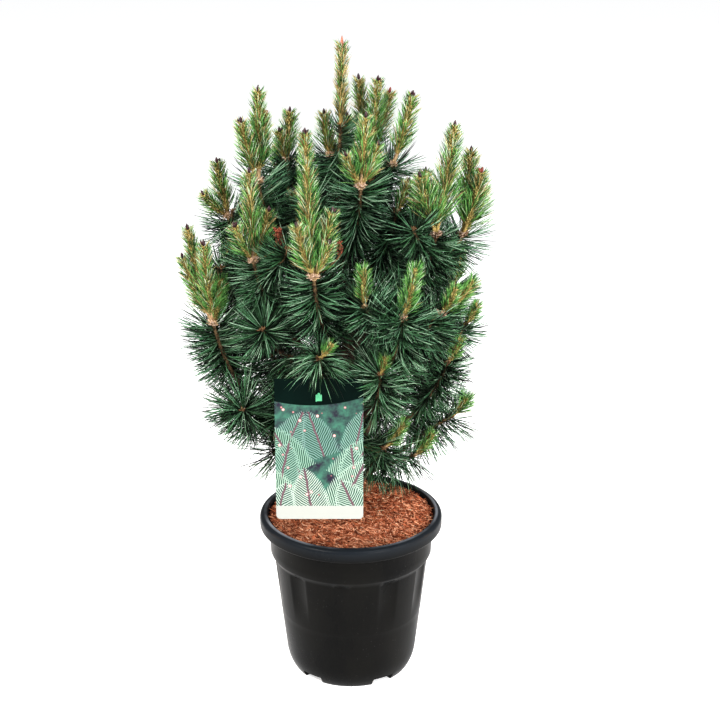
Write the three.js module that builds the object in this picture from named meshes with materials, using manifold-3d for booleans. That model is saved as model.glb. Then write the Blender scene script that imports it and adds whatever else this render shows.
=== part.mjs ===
// A young mugo pine in its nursery pot, with its mulch and hang tag.
// Units are millimetres, +Z is up, -Y is the front. The origin is the middle of the pot's flat underside.

import * as THREE from "three";
import Module from "manifold-3d";

const wasm = await Module();
wasm.setup();

// ---------------------------------------------------------------- driving dimensions

const CLEARANCE = 0.3;

// Pot
const POT_HEIGHT = 290;
const RIM_RADIUS = 157.5;
const RIM_DEPTH = 22;
const COLLAR_RADIUS = 141;
const COLLAR_BOTTOM = 220;
const WALL_TOP_RADIUS = 134.5;
const WALL_FOOT_RADIUS = 114;
const WALL_FOOT_HEIGHT = 39;
const POT_WALL = 3;
const FLOOR_HEIGHT = 14;
const FOOT_INNER = 86;
const FOOT_OUTER = 102;
const PAD_RADIUS = 26;
const FLUTE_COUNT = 10;
const FLUTE_FIRST = 29;
const FLUTE_HALF_WIDTH = 8;
const FLUTE_DEPTH = 3.5;
const FLUTE_TOP = 212;
const FLUTE_BOTTOM = 112;
const FLUTE_FADE = 60;
const FOOT_COUNT = 5;
const FOOT_FIRST = -4;
const NOTCH_WIDTH = 38;
const NOTCH_HEIGHT = 13.5;
const NOTCH_DEPTH = 40;
const RIM_ROUND = 5;
const RIM_WIDTH = 10;

// Mulch and root ball
const SOIL_TOP = 285;
const SOIL_EDGE = 281;
const SOIL_MIDDLE_RADIUS = 40;
const SOIL_COLUMNS = 24;

// Trunk
const TRUNK_TOP = 850;
const TRUNK_RADIUS = 14;
const TRUNK_TOP_RADIUS = 5;
const TRUNK_FLARE = 9;
const FLARE_HEIGHT = 16;
const TRUNK_SWAY = 6;
const TRUNK_SWAY_BACK = 4.2;
const TRUNK_SIDES = 8;
const TRUNK_FOOT_RINGS = [0.3, 8, 20, 45];
const TRUNK_STEPS = 10;
const LEADER_HUB = [-15, 0, 970];

// Boughs and stems
const BOUGH_TIP_RADIUS = 4.4;
const BOUGH_SWELL = 0.011;
const STEM_LENGTH = 150;
const STEM_SHARE = 0.55;
const HUB_RADIUS = 4;
const LEANING_BELOW = 430;
const UPRIGHT_ABOVE = 660;
const BOUGH_SIDES = 5;
const BOUGH_STEP = 55;
const BOUGH_LEAVES = { out: 0.4, rise: 0.25 };
const LEANING_END = { out: -0.36, rise: -0.24 };
const UPRIGHT_END = { out: -0.12, rise: -0.5 };
const FORK_SHARES = [0.08, 0.85];
const FORK_SLOPE = 0.6;

// Shoots and needles
const OLD_NEEDLE = 62;
const NEW_NEEDLE = 27;
const LEADER_NEEDLE = 15;
const NEEDLE_SPREAD_LOW = 88;
const NEEDLE_SPREAD_HIGH = 56;
const NEW_NEEDLE_SPREAD = 32;
const SPRAY_ROOT = 0.45;
const SPRAY_WIDTH = 0.35;
const BARE_SHARE = 0.1;
const BARE_FORK = 0.2;
const BARE_SIDE = 0.25;
const BARE_CANDLE = 0.05;
const SHOOT_SIDES = 4;
const SHOOT_STEP = 24;
const SIDE_SHOOTS = [0.24, 0.44, 0.62, 0.8];
const SIDE_LENGTH = 72;
const SIDE_LENGTH_VARIES = 24;
const SIDE_TURN = 70;
const SIDE_TURN_VARIES = 60;
const SIDE_OUT = 0.75;
const SIDE_RISE = 0.66;
const SIDE_BEYOND = 6;
const SIDE_RADIUS = 3;
const SIDE_STEPS = 4;
const SIDE_CLEAR = 42;
const SHOOT_CLEAR = 8;
const SIDE_BUD = 14;
const SIDE_BUD_LEAN = 0.25;
const SIDE_BUD_GROWS = 0.32;
const SIDE_BUD_GROWS_ABOVE = 720;
const SIDE_HIGHEST = 870;
const CANDLE_RADIUS = 3.4;
const CANDLE_TAPER = 0.6;
const CANDLE_SIDES = 3;
const CANDLE_STEP = 38;
const CANDLE_SUNK = 3;
const CANDLE_SWAY = 0.16;
const CANDLE_CLEAR = 12;
const GOLDEN_ANGLE = 137.5;
const SPACE_MARGIN = 1.6;
const SPRAY_SAMPLES = [0.12, 0.3, 0.55, 0.8, 1];
const LIMB_CLEAR = 2.5;
const LIMB_POINT_STEP = 5;
const AXIS_STEPS = { shoot: 24, side: 12, candle: 12, bud: 6 };
const SIMPLIFY = 0.35;
const LOWEST_TIP = 300;

// Hang tag and tie
const TAG_WIDTH = 140;
const TAG_HEIGHT = 243;
const TAG_THICKNESS = 0.9;
const TAG_CORNER = 7;
const TAG_CENTRE_X = -49;
const TAG_Y = -200;
const TAG_BOTTOM = 372;
const TAG_HOLE_HEIGHT = 590;
const TAG_HOLE_RADIUS = 3.2;
const TAG_CLEAR = 5;
const TAG_SHOOT_CLEAR = 40;
const TIE_RADIUS = 1.4;
const TIE_RISE = 13;
const TIE_PULL = 1;
const TIE_FORWARD = 3.4;
const TIE_COIL_START = -120;
const TIE_COIL_STEP = -30;
const TIE_COIL_STEPS = 10;
const TIE_COIL_RISE = 1.5;
const TIE_COIL_FALL = 0.3;
const TIE_CLEAR = 9;
const TIE_END = [11, 1.2, 14];

// Every mass of foliage: the height where its branch leaves the trunk, and its whorls. A whorl is the
// knot that a year's candles rise from: its place, and the length and sideways lean of each candle.
const MASSES = [
  { name: "leader", foot: TRUNK_TOP, whorls: [{ at: LEADER_HUB, candles: [[140, 1]] }] },
  { name: "top_left", foot: 775, direct: true, whorls: [{ at: [-34, 52, 908], candles: [[80, -7]] }] },
  { name: "top_right", foot: 755, direct: true, whorls: [
    { at: [32, 34, 904], candles: [[143, -8], [148, 5], [124, 16]] },
    { at: [68, -12, 908], candles: [[127, 15]] }] },
  { name: "top_front", foot: 735, direct: true, whorls: [
    { at: [17, -80, 892], candles: [[119, 4], [67, -24], [80, 22]] }] },
  { name: "top_back", foot: 742, direct: true, whorls: [
    { at: [-12, 115, 862], candles: [[105, 3], [70, -20]] }] },
  { name: "right_inner", foot: 690, direct: true, whorls: [
    { at: [74, -52, 842], candles: [[63, 20]] }] },
  { name: "left_top_back", foot: 692, whorls: [{ at: [-105, 72, 894], candles: [[90, 4], [63, -12]] }] },
  { name: "left_top", foot: 665, whorls: [
    { at: [-148, -22, 884], candles: [[155, 1], [115, -13], [118, 6]] },
    { at: [-92, -2, 828], candles: [[45, -1]] }] },
  { name: "back_high", foot: 630, whorls: [{ at: [-115, 145, 800], candles: [[110, -3], [70, 16]] }] },
  { name: "back_right_high", foot: 610, whorls: [{ at: [118, 112, 788], candles: [[85, 6], [60, -14]] }] },
  { name: "right_high", foot: 590, whorls: [
    { at: [137, -66, 808], candles: [[186, 9], [115, -15], [92, -6]] },
    { at: [182, -18, 794], candles: [[146, 5], [124, 14], [90, 22]] }] },
  { name: "left_high", foot: 575, whorls: [{ at: [-200, 22, 813], candles: [[100, -11], [66, -44]] }] },
  { name: "front_centre", foot: 564, whorls: [
    { at: [-56, -180, 775], candles: [[232, -3], [99, -16], [115, 16], [70, 24]] }] },
  { name: "left_front", foot: 532, whorls: [
    { at: [-152, -112, 780], candles: [[150, -2], [76, -25], [92, 17]] },
    { at: [-138, -150, 678], candles: [[14, -10]] }] },
  { name: "back_mid", foot: 522, whorls: [
    { at: [-15, 205, 735], candles: [[120, -2], [80, 18], [70, -20]] }] },
  { name: "front_right", foot: 502, whorls: [
    { at: [82, -200, 715], candles: [[86, 13]] },
    { at: [24, -176, 724], candles: [[66, -3]] }] },
  { name: "right_mid", foot: 480, whorls: [
    { at: [146, -94, 684], candles: [[78, 44], [56, 26]] },
    { at: [188, -24, 640], candles: [[46, 29]] }] },
  { name: "back_left_mid", foot: 474, whorls: [{ at: [-200, 104, 684], candles: [[80, -8], [55, 18]] }] },
  { name: "back_right_mid", foot: 450, whorls: [{ at: [172, 92, 668], candles: [[75, 12], [52, -12]] }] },
  { name: "left_low", foot: 368, whorls: [
    { at: [-220, -92, 668], candles: [[168, -14], [150, -4], [126, -24], [80, 10]] }] },
  { name: "front_low", foot: 428, whorls: [{ at: [-48, -192, 645], candles: [[36, 38]] }] },
  { name: "front_right_low", foot: 410, whorls: [{ at: [48, -188, 616], candles: [[35, 14]] }] },
  { name: "back_low", foot: 398, whorls: [{ at: [25, 190, 592], candles: [[55, 4]] }] },
  { name: "right_low", foot: 392, whorls: [{ at: [158, -64, 588], candles: [[51, 27]] }] },
  { name: "back_left_low", foot: 386, whorls: [{ at: [-150, 142, 548], candles: [[50, -10]] }] },
  { name: "left_bottom", foot: 350, whorls: [{ at: [-190, -114, 540], candles: [[14, -10]] }] },
  { name: "right_bottom", foot: 346, whorls: [{ at: [172, 16, 460], candles: [[44, 34]] }] },
  { name: "back_bottom", foot: 336, whorls: [{ at: [30, 138, 446], candles: [[40, 10]] }] },
  { name: "front_bottom", foot: 328, whorls: [
    { at: [55, -104, 454], candles: [[59, 36]] },
    { at: [106, -52, 416], candles: [[55, 36]] },
    { at: [-4, -118, 480], candles: [[30, 50]] }] },
  { name: "left_foot", foot: 316, whorls: [{ at: [-128, -34, 414], candles: [[14, -20]] }] },
];

// ---------------------------------------------------------------- small helpers

const UP = new THREE.Vector3(0, 0, 1);
const vec = (x, y, z) => new THREE.Vector3(x, y, z);
const TURN = 2 * Math.PI;
const radians = THREE.MathUtils.degToRad;
const lerp = THREE.MathUtils.lerp;

// A repeatable number from 0 to 1 for each whole number n.
function chance(n) {
  const s = Math.sin(n * 12.9898) * 43758.5453;
  return s - Math.floor(s);
}

function toSolid(positions, triangles) {
  const vertProperties = new Float32Array(positions.flat());
  const triVerts = new Uint32Array(triangles.flat());
  return new wasm.Manifold(new wasm.Mesh({ numProp: 3, vertProperties, triVerts }));
}

function toGeometry(solid) {
  const mesh = solid.getMesh();
  const geometry = new THREE.BufferGeometry();
  geometry.setAttribute("position", new THREE.BufferAttribute(mesh.vertProperties, 3));
  geometry.setIndex(new THREE.BufferAttribute(mesh.triVerts, 1));
  geometry.computeVertexNormals();
  return geometry;
}

// The largest connected skin of a solid, without the scraps and sealed hollows that fusing leaves.
function largestPiece(solid) {
  return solid.decompose().reduce((best, piece) => (piece.volume() > best.volume() ? piece : best));
}

// Rings of points joined into a closed skin, from the first ring's end face to the last one's.
// Each ring is a list of points, or a single point where the skin closes to a tip.
function skin(rings) {
  const positions = [];
  const triangles = [];
  const starts = rings.map((ring) => {
    const first = positions.length;
    ring.forEach((p) => positions.push([p.x, p.y, p.z]));
    return first;
  });
  for (let i = 0; i + 1 < rings.length; i++) {
    const low = rings[i].length;
    const high = rings[i + 1].length;
    const count = Math.max(low, high);
    for (let k = 0; k < count; k++) {
      const a = starts[i] + (k % low);
      const b = starts[i] + ((k + 1) % low);
      const c = starts[i + 1] + (k % high);
      const d = starts[i + 1] + ((k + 1) % high);
      if (low > 1) triangles.push([a, b, high > 1 ? d : c]);
      if (high > 1) triangles.push([a, d, c]);
    }
  }
  for (let k = 1; k + 1 < rings[0].length; k++) {
    triangles.push([starts[0], starts[0] + k + 1, starts[0] + k]);
  }
  const last = rings.length - 1;
  for (let k = 1; k + 1 < rings[last].length; k++) {
    triangles.push([starts[last], starts[last] + k, starts[last] + k + 1]);
  }
  return toSolid(positions, triangles);
}

// Axes across a path at each of its points, carried along so that they never spin.
function framesAlong(points) {
  const frames = [];
  let across = null;
  points.forEach((point, i) => {
    const before = points[Math.max(i - 1, 0)];
    const after = points[Math.min(i + 1, points.length - 1)];
    const along = after.clone().sub(before).normalize();
    if (!across) {
      across = Math.abs(along.y) < 0.9 ? vec(0, 1, 0) : vec(1, 0, 0);
    }
    across.addScaledVector(along, -across.dot(along)).normalize();
    frames.push({ point, along, across: across.clone(), beside: along.clone().cross(across) });
    across = across.clone();
  });
  return frames;
}

// A tapering limb with a few flat sides along a path. tipOf may give the point that a face of the
// limb is drawn out to, so that a spray of needles is one thin three-sided blade rooted on the limb.
function limb(points, radiusAt, sides, tipOf = () => null, pointed = false) {
  const positions = [];
  const triangles = [];
  const frames = framesAlong(points);
  const last = points.length - 1;
  frames.forEach(({ point, across, beside }, i) => {
    for (let k = 0; k < sides; k++) {
      const angle = ((k + (i % 2) / 2) * TURN) / sides;
      const p = point.clone();
      p.addScaledVector(across, Math.cos(angle) * radiusAt(i / last));
      p.addScaledVector(beside, Math.sin(angle) * radiusAt(i / last));
      positions.push([p.x, p.y, p.z]);
    }
  });
  for (let i = 0; i < last; i++) {
    const odd = i % 2;
    for (let k = 0; k < sides; k++) {
      const a = i * sides + k;
      const b = i * sides + ((k + 1) % sides);
      const c = (i + 1) * sides + ((k + odd) % sides);
      const d = (i + 1) * sides + ((k + 1 - odd) % sides);
      const facing = ((k + 0.5 + odd / 2) * TURN) / sides;
      const tip = tipOf(frames[i], frames[i + 1], facing, (i + 0.5) / last);
      if (tip) {
        positions.push([tip.x, tip.y, tip.z]);
        const t = positions.length - 1;
        triangles.push([a, b, t], [b, c, t], [c, a, t]);
      } else {
        triangles.push([a, b, c]);
      }
      triangles.push(odd ? [a, c, d] : [b, d, c]);
    }
  }
  for (let k = 1; k + 1 < sides; k++) {
    triangles.push([0, k + 1, k]);
  }
  const end = last * sides;
  if (pointed) {
    const tip = points[last].clone().addScaledVector(frames[last].along, radiusAt(1) * 3);
    positions.push([tip.x, tip.y, tip.z]);
    for (let k = 0; k < sides; k++) {
      triangles.push([end + k, end + ((k + 1) % sides), positions.length - 1]);
    }
  } else {
    for (let k = 1; k + 1 < sides; k++) {
      triangles.push([end, end + k, end + k + 1]);
    }
  }
  return toSolid(positions, triangles);
}

// ---------------------------------------------------------------- pot

function fluteDepth(angle, height) {
  const period = 360 / FLUTE_COUNT;
  const turned = THREE.MathUtils.euclideanModulo(angle - FLUTE_FIRST + period / 2, period);
  const offset = turned - period / 2;
  const round = Math.max(0, 1 - (offset / FLUTE_HALF_WIDTH) ** 2);
  const fade = THREE.MathUtils.smoothstep(height, FLUTE_BOTTOM, FLUTE_BOTTOM + FLUTE_FADE);
  return height > FLUTE_TOP ? 0 : FLUTE_DEPTH * round * fade;
}

function potWall(height) {
  const t = (height - WALL_FOOT_HEIGHT) / (COLLAR_BOTTOM - WALL_FOOT_HEIGHT);
  return lerp(WALL_FOOT_RADIUS, WALL_TOP_RADIUS, t);
}

// The wall's section from the middle of the underside, up the outside, over the rim and down inside.
function potProfile() {
  const underRim = POT_HEIGHT - RIM_DEPTH;
  const outside = [
    [PAD_RADIUS, 0],
    [PAD_RADIUS + 2, FLOOR_HEIGHT],
    [FOOT_INNER - 2, FLOOR_HEIGHT],
    [FOOT_INNER, 0],
    [FOOT_OUTER, 0],
    [FOOT_OUTER + 5, 9],
    [potWall(WALL_FOOT_HEIGHT), WALL_FOOT_HEIGHT],
    [potWall(FLUTE_BOTTOM), FLUTE_BOTTOM],
    [potWall(FLUTE_BOTTOM + FLUTE_FADE), FLUTE_BOTTOM + FLUTE_FADE],
    [potWall(FLUTE_TOP), FLUTE_TOP],
    [COLLAR_RADIUS - 1, COLLAR_BOTTOM],
    [COLLAR_RADIUS, underRim - 1],
    [RIM_RADIUS, underRim + 1],
    [RIM_RADIUS, POT_HEIGHT - RIM_ROUND],
    [RIM_RADIUS - RIM_ROUND, POT_HEIGHT],
    [RIM_RADIUS - RIM_WIDTH, POT_HEIGHT],
  ];
  const inside = [
    [COLLAR_RADIUS - POT_WALL, underRim],
    [COLLAR_RADIUS - POT_WALL - 1, COLLAR_BOTTOM],
    [potWall(FLUTE_TOP) - POT_WALL, FLUTE_TOP],
    [potWall(FLUTE_BOTTOM) - POT_WALL, FLUTE_BOTTOM],
    [potWall(WALL_FOOT_HEIGHT) - POT_WALL, WALL_FOOT_HEIGHT],
    [FOOT_OUTER - 2, FLOOR_HEIGHT + POT_WALL],
  ];
  return { outside, inside };
}

function makePot() {
  const period = 360 / FLUTE_COUNT;
  const steps = [-period / 2, -FLUTE_HALF_WIDTH, 0, FLUTE_HALF_WIDTH];
  const angles = [];
  for (let n = 0; n < FLUTE_COUNT; n++) {
    steps.forEach((step) => angles.push(FLUTE_FIRST + n * period + step));
  }
  const { outside, inside } = potProfile();
  const ring = ([radius, height]) => angles.map((angle) => {
    const r = radius - (radius > WALL_FOOT_RADIUS - POT_WALL ? fluteDepth(angle, height) : 0);
    const turn = radians(angle - 90);
    return vec(r * Math.cos(turn), r * Math.sin(turn), height);
  });
  const underMiddle = [vec(0, 0, 0)];
  const floorMiddle = [vec(0, 0, FLOOR_HEIGHT + POT_WALL)];
  let pot = skin([underMiddle, ...outside.map(ring), ...inside.map(ring), floorMiddle]);
  const below = 1;
  for (let n = 0; n < FOOT_COUNT; n++) {
    const angle = FOOT_FIRST + ((n + 0.5) * 360) / FOOT_COUNT;
    const turn = new THREE.Matrix4().makeRotationZ(radians(angle));
    const move = new THREE.Matrix4().makeTranslation(0, -FOOT_OUTER, NOTCH_HEIGHT / 2 - below);
    const notch = [NOTCH_WIDTH, NOTCH_DEPTH, NOTCH_HEIGHT + 2 * below];
    pot = pot.subtract(boxSolid(notch, turn.multiply(move)));
  }
  return pot;
}

function boxSolid(size, matrix) {
  const [halfX, halfY, halfZ] = size.map((side) => side / 2);
  const corner = (x, y, z) => vec(x * halfX, y * halfY, z * halfZ).applyMatrix4(matrix);
  const ring = (z) => [corner(-1, -1, z), corner(1, -1, z), corner(1, 1, z), corner(-1, 1, z)];
  return skin([ring(-1), ring(1)]);
}

// ---------------------------------------------------------------- mulch

// The root ball with its mulch, as one turned solid that fills the pot and mounds to the trunk.
function makeMulch() {
  const gap = CLEARANCE + 0.2;
  const profile = [
    [FOOT_OUTER - 10, FLOOR_HEIGHT + POT_WALL + gap],
    [potWall(WALL_FOOT_HEIGHT) - POT_WALL - 4, WALL_FOOT_HEIGHT],
    [potWall(FLUTE_TOP) - POT_WALL - FLUTE_DEPTH - 1.5, FLUTE_TOP],
    [COLLAR_RADIUS - POT_WALL - 2.5, COLLAR_BOTTOM + 4],
    [COLLAR_RADIUS - POT_WALL - 1.2, POT_HEIGHT - RIM_DEPTH],
    [COLLAR_RADIUS + 1, SOIL_EDGE],
    [SOIL_MIDDLE_RADIUS, SOIL_TOP],
  ];
  const rings = profile.map(([radius, height]) => {
    const ring = [];
    for (let k = 0; k < SOIL_COLUMNS; k++) {
      const turn = (k * TURN) / SOIL_COLUMNS;
      ring.push(vec(radius * Math.cos(turn), radius * Math.sin(turn), height));
    }
    return ring;
  });
  return skin(rings);
}

// ---------------------------------------------------------------- trunk and branches

function trunkPoint(height) {
  const t = (height - SOIL_TOP) / (LEADER_HUB[2] - SOIL_TOP);
  const x = LEADER_HUB[0] * t + TRUNK_SWAY * Math.sin(TURN * t);
  const y = LEADER_HUB[1] * t + TRUNK_SWAY_BACK * Math.sin(1.5 * TURN * t);
  return vec(x, y, height);
}

function trunkRadius(height) {
  const t = (height - SOIL_TOP) / (TRUNK_TOP - SOIL_TOP);
  const flare = TRUNK_FLARE * Math.exp(-(height - SOIL_TOP) / FLARE_HEIGHT);
  return lerp(TRUNK_RADIUS, TRUNK_TOP_RADIUS, t) + flare;
}

// The trunk, or with something extra all round, the space that its neighbours keep clear of.
function makeTrunk(extra) {
  const heights = TRUNK_FOOT_RINGS.map((rise) => SOIL_TOP + rise);
  const aboveFlare = heights[heights.length - 1];
  for (let n = 1; n <= TRUNK_STEPS; n++) {
    heights.push(lerp(aboveFlare, TRUNK_TOP - CLEARANCE, n / TRUNK_STEPS));
  }
  const rings = heights.map((height) => {
    const middle = trunkPoint(height);
    const ring = [];
    for (let k = 0; k < TRUNK_SIDES; k++) {
      const turn = (k * TURN) / TRUNK_SIDES;
      const r = trunkRadius(height) + extra;
      ring.push(vec(middle.x + r * Math.cos(turn), middle.y + r * Math.sin(turn), height));
    }
    return ring;
  });
  return skin(rings);
}

// The line that a branch follows: out from its start at about 45 degrees, and upright at its whorl.
// Low whorls still lean outwards.
function branchCurve(start, hub) {
  const out = vec(hub.x - start.x, hub.y - start.y, 0);
  const rise = hub.z - start.z;
  const upright = THREE.MathUtils.smoothstep(hub.z, LEANING_BELOW, UPRIGHT_ABOVE);
  const first = start.clone().addScaledVector(out, BOUGH_LEAVES.out);
  first.addScaledVector(UP, BOUGH_LEAVES.rise * rise);
  const second = hub.clone().addScaledVector(out, lerp(LEANING_END.out, UPRIGHT_END.out, upright));
  second.addScaledVector(UP, lerp(LEANING_END.rise, UPRIGHT_END.rise, upright) * rise);
  return new THREE.CubicBezierCurve3(start, first, second, hub);
}

// Points at even steps along part of a curve, from share a to share b of its length.
function along(curve, a, b, steps) {
  const points = [];
  for (let n = 0; n <= steps; n++) {
    points.push(curve.getPointAt(lerp(a, b, n / steps)));
  }
  return points;
}

// A second whorl's branch leaves the main stem low enough to rise to its whorl.
function forkShare(curve, stemFrom, hub) {
  const [lowest, highest] = FORK_SHARES;
  let best = lerp(stemFrom, 1, lowest);
  for (let share = lowest; share < highest; share += 0.01) {
    const p = curve.getPointAt(lerp(stemFrom, 1, share));
    const distance = Math.hypot(hub.x - p.x, hub.y - p.y);
    if (p.z <= hub.z - FORK_SLOPE * distance) best = lerp(stemFrom, 1, share);
  }
  return best;
}

function candleAxes(whorl, hub) {
  return whorl.candles.map(([length, lean], n) => {
    const sway = whorl.candles.length > 1 ? CANDLE_SWAY * Math.sin(radians(GOLDEN_ANGLE * (n + 1))) : 0;
    const direction = vec(Math.sin(radians(lean)), sway, Math.cos(radians(lean))).normalize();
    return { base: hub, direction, length };
  });
}

// Works out every branch: its bough, its stem inside the mass, and the shoots that fork from it.
function growBranches() {
  const branches = MASSES.map((mass, index) => {
    const hub = vec(...mass.whorls[0].at);
    const start = trunkPoint(mass.foot);
    const curve = mass.name === "leader"
      ? new THREE.CubicBezierCurve3(start, trunkPoint(mass.foot + 40), trunkPoint(mass.foot + 80), hub)
      : branchCurve(start, hub);
    const length = curve.getLength();
    const stem = Math.min(STEM_LENGTH, STEM_SHARE * length);
    const whole = mass.direct || mass.name === "leader";
    const stemFrom = whole ? 0 : 1 - (stem - CLEARANCE) / length;
    const needlesFrom = mass.name === "leader" ? BARE_SHARE : Math.max(1 - STEM_LENGTH / length, stemFrom);
    const main = { curve, from: stemFrom, needlesFrom: lerp(needlesFrom, 1, BARE_SHARE) };
    const branch = { mass, index, hub, curve, length, stemFrom, whole, shoots: [main], candles: [] };
    branch.candles.push(...candleAxes(mass.whorls[0], hub));
    mass.whorls.slice(1).forEach((whorl) => {
      const second = vec(...whorl.at);
      const fork = curve.getPointAt(forkShare(curve, Math.max(needlesFrom, stemFrom), second));
      branch.shoots.push({ curve: branchCurve(fork, second), from: 0, needlesFrom: BARE_FORK });
      branch.candles.push(...candleAxes(whorl, second));
    });
    return branch;
  });
  branches.forEach((branch) => {
    branch.axis = [];
    branch.shoots.forEach((shoot) => addShootAxis(branch, shoot, AXIS_STEPS.shoot));
    branch.candles.forEach((candle) => addCandleAxis(branch, candle, AXIS_STEPS.candle));
  });
  const limbs = limbPoints(branches);
  branches.forEach((branch) => growSideShoots(branch, branches, limbs));
  return { branches, limbs };
}

// A branch's axis is every point along its twigs, by which its own space is known.
function addShootAxis(branch, shoot, steps) {
  shoot.axis = along(shoot.curve, shoot.from, 1, steps);
  branch.axis.push(...shoot.axis);
}

function addCandleAxis(branch, candle, steps) {
  candle.axis = candlePoints(candle, steps);
  branch.axis.push(...candle.axis);
}

function candlePoints({ base, direction, length }, steps) {
  const points = [];
  for (let n = 0; n <= steps; n++) {
    points.push(base.clone().addScaledVector(direction, (length * n) / steps));
  }
  return points;
}

// Shoots by rule: they fork to either side of the stem in turn and turn up, where there is room.
function growSideShoots(branch, branches, limbs) {
  const stemStart = branch.shoots[0].needlesFrom;
  const away = branch.hub.clone().sub(trunkPoint(branch.hub.z));
  const outward = Math.atan2(away.y, away.x);
  SIDE_SHOOTS.forEach((share, n) => {
    const seed = branch.index * 10 + n + 1;
    const fork = branch.curve.getPointAt(lerp(stemStart, 1, share));
    const side = (n + branch.index) % 2 === 0 ? 1 : -1;
    const turn = outward + side * radians(SIDE_TURN + SIDE_TURN_VARIES * chance(seed));
    const sideways = vec(Math.cos(turn), Math.sin(turn), 0);
    const length = SIDE_LENGTH + SIDE_LENGTH_VARIES * chance(seed + 0.5);
    const tip = fork.clone().addScaledVector(sideways, SIDE_OUT * length);
    tip.addScaledVector(UP, SIDE_RISE * length);
    const crowded = branches.some((other) => other.axis.some((p) => p.distanceTo(tip) < SIDE_CLEAR));
    const inTrunk = tip.distanceTo(trunkPoint(tip.z)) < SIDE_CLEAR;
    const reach = Math.hypot(tip.x, tip.y) - Math.hypot(branch.hub.x, branch.hub.y);
    const inTag = inTagSpace(tip, TAG_SHOOT_CLEAR);
    if (crowded || inTrunk || inTag || reach > SIDE_BEYOND || fork.z > SIDE_HIGHEST) return;
    const shoot = { curve: branchCurve(fork, tip), from: 0, needlesFrom: BARE_SIDE, side: true };
    const path = along(shoot.curve, BARE_FORK, 1, 8);
    const hits = ({ point, radius }) => path.some((p) => point.distanceTo(p) < radius + SHOOT_CLEAR);
    if (limbs.some(hits)) return;
    branch.shoots.push(shoot);
    const upright = sideways.clone().multiplyScalar(SIDE_BUD_LEAN).add(UP).normalize();
    const grown = (tip.z - SIDE_BUD_GROWS_ABOVE) * SIDE_BUD_GROWS * chance(seed + 0.25);
    const candle = { base: tip, direction: upright, length: Math.max(SIDE_BUD, grown) };
    branch.candles.push(candle);
    addShootAxis(branch, shoot, AXIS_STEPS.side);
    addCandleAxis(branch, candle, AXIS_STEPS.bud);
  });
}

// ---------------------------------------------------------------- room for needles

function inTagSpace(p, margin) {
  const beside = Math.abs(p.x - TAG_CENTRE_X) < TAG_WIDTH / 2 + margin;
  const level = p.z > TAG_BOTTOM - margin && p.z < TAG_BOTTOM + TAG_HEIGHT + margin;
  return beside && level && p.y < TAG_Y + margin;
}

// The limbs that needles keep clear of, as points along them with their radii.
function limbPoints(branches) {
  const points = [];
  for (let height = SOIL_TOP; height <= TRUNK_TOP; height += LIMB_POINT_STEP) {
    points.push({ point: trunkPoint(height), radius: trunkRadius(height) });
  }
  branches.filter((branch) => !branch.whole).forEach((branch) => {
    const steps = Math.ceil((branch.length * branch.stemFrom) / LIMB_POINT_STEP);
    along(branch.curve, 0, branch.stemFrom, steps).forEach((point, n) => {
      points.push({ point, radius: boughRadius(branch, n / steps) });
    });
  });
  tiePath().getSpacedPoints(30).forEach((point) => points.push({ point, radius: TIE_CLEAR }));
  return points;
}

const nearest = (points, p) => Math.min(...points.map((q) => q.distanceTo(p)));

// A spray stays if every part of it is nearer its own mass's twigs than any other's, and clear of limbs.
// Within the mass it keeps off the other twigs of its own kind.
function hasRoom(root, tip, twig, branch, branches, limbs, width) {
  const kind = branch.shoots.includes(twig) ? branch.shoots : branch.candles;
  const rest = kind === branch.shoots ? branch.candles : [];
  for (const share of SPRAY_SAMPLES) {
    const p = root.clone().lerp(tip, share);
    const margin = SPACE_MARGIN + width * (1 - share);
    if (p.z < LOWEST_TIP || inTagSpace(p, TAG_CLEAR)) return false;
    const own = nearest(branch.axis, p);
    for (const other of branches) {
      if (other !== branch && other.axis.some((q) => q.distanceTo(p) < own + margin)) return false;
    }
    const ownTwig = nearest(twig.axis, p);
    if (kind.some((other) => other !== twig && nearest(other.axis, p) < ownTwig)) return false;
    if (share > 0.5 && rest.some((other) => nearest(other.axis, p) < CANDLE_CLEAR)) return false;
    if (limbs.some(({ point, radius }) => point.distanceTo(p) < radius + margin + LIMB_CLEAR)) return false;
  }
  return true;
}

// ---------------------------------------------------------------- boughs and masses

function boughRadius(branch, share) {
  const base = BOUGH_TIP_RADIUS + BOUGH_SWELL * branch.length;
  return lerp(base, BOUGH_TIP_RADIUS, share);
}

function makeBough(branch, trunkSpace) {
  const end = branch.stemFrom - (2 * CLEARANCE) / branch.length;
  const steps = Math.max(3, Math.round((branch.length * end) / BOUGH_STEP));
  const bough = limb(along(branch.curve, 0, end, steps), (t) => boughRadius(branch, t), BOUGH_SIDES);
  return largestPiece(bough.subtract(trunkSpace));
}

// Draws some faces of a shoot out into sprays of needles.
function needleRule(twig, branch, branches, limbs, needlesFrom, from, needle, spreadLow, spreadHigh) {
  return (lower, upper, facing, share) => {
    const grown = lerp(from, 1, share);
    if (grown < needlesFrom) return null;
    const t = (grown - needlesFrom) / (1 - needlesFrom);
    const root = lower.point.clone().lerp(upper.point, SPRAY_ROOT);
    const outward = lower.across.clone().multiplyScalar(Math.cos(facing));
    outward.addScaledVector(lower.beside, Math.sin(facing));
    const spread = radians(lerp(spreadLow, spreadHigh, t));
    const direction = lower.along.clone().multiplyScalar(Math.cos(spread));
    direction.addScaledVector(outward, Math.sin(spread));
    const tip = root.clone().addScaledVector(direction, needle);
    const width = lower.point.distanceTo(upper.point) * SPRAY_WIDTH;
    return hasRoom(root, tip, twig, branch, branches, limbs, width) ? tip : null;
  };
}

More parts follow.
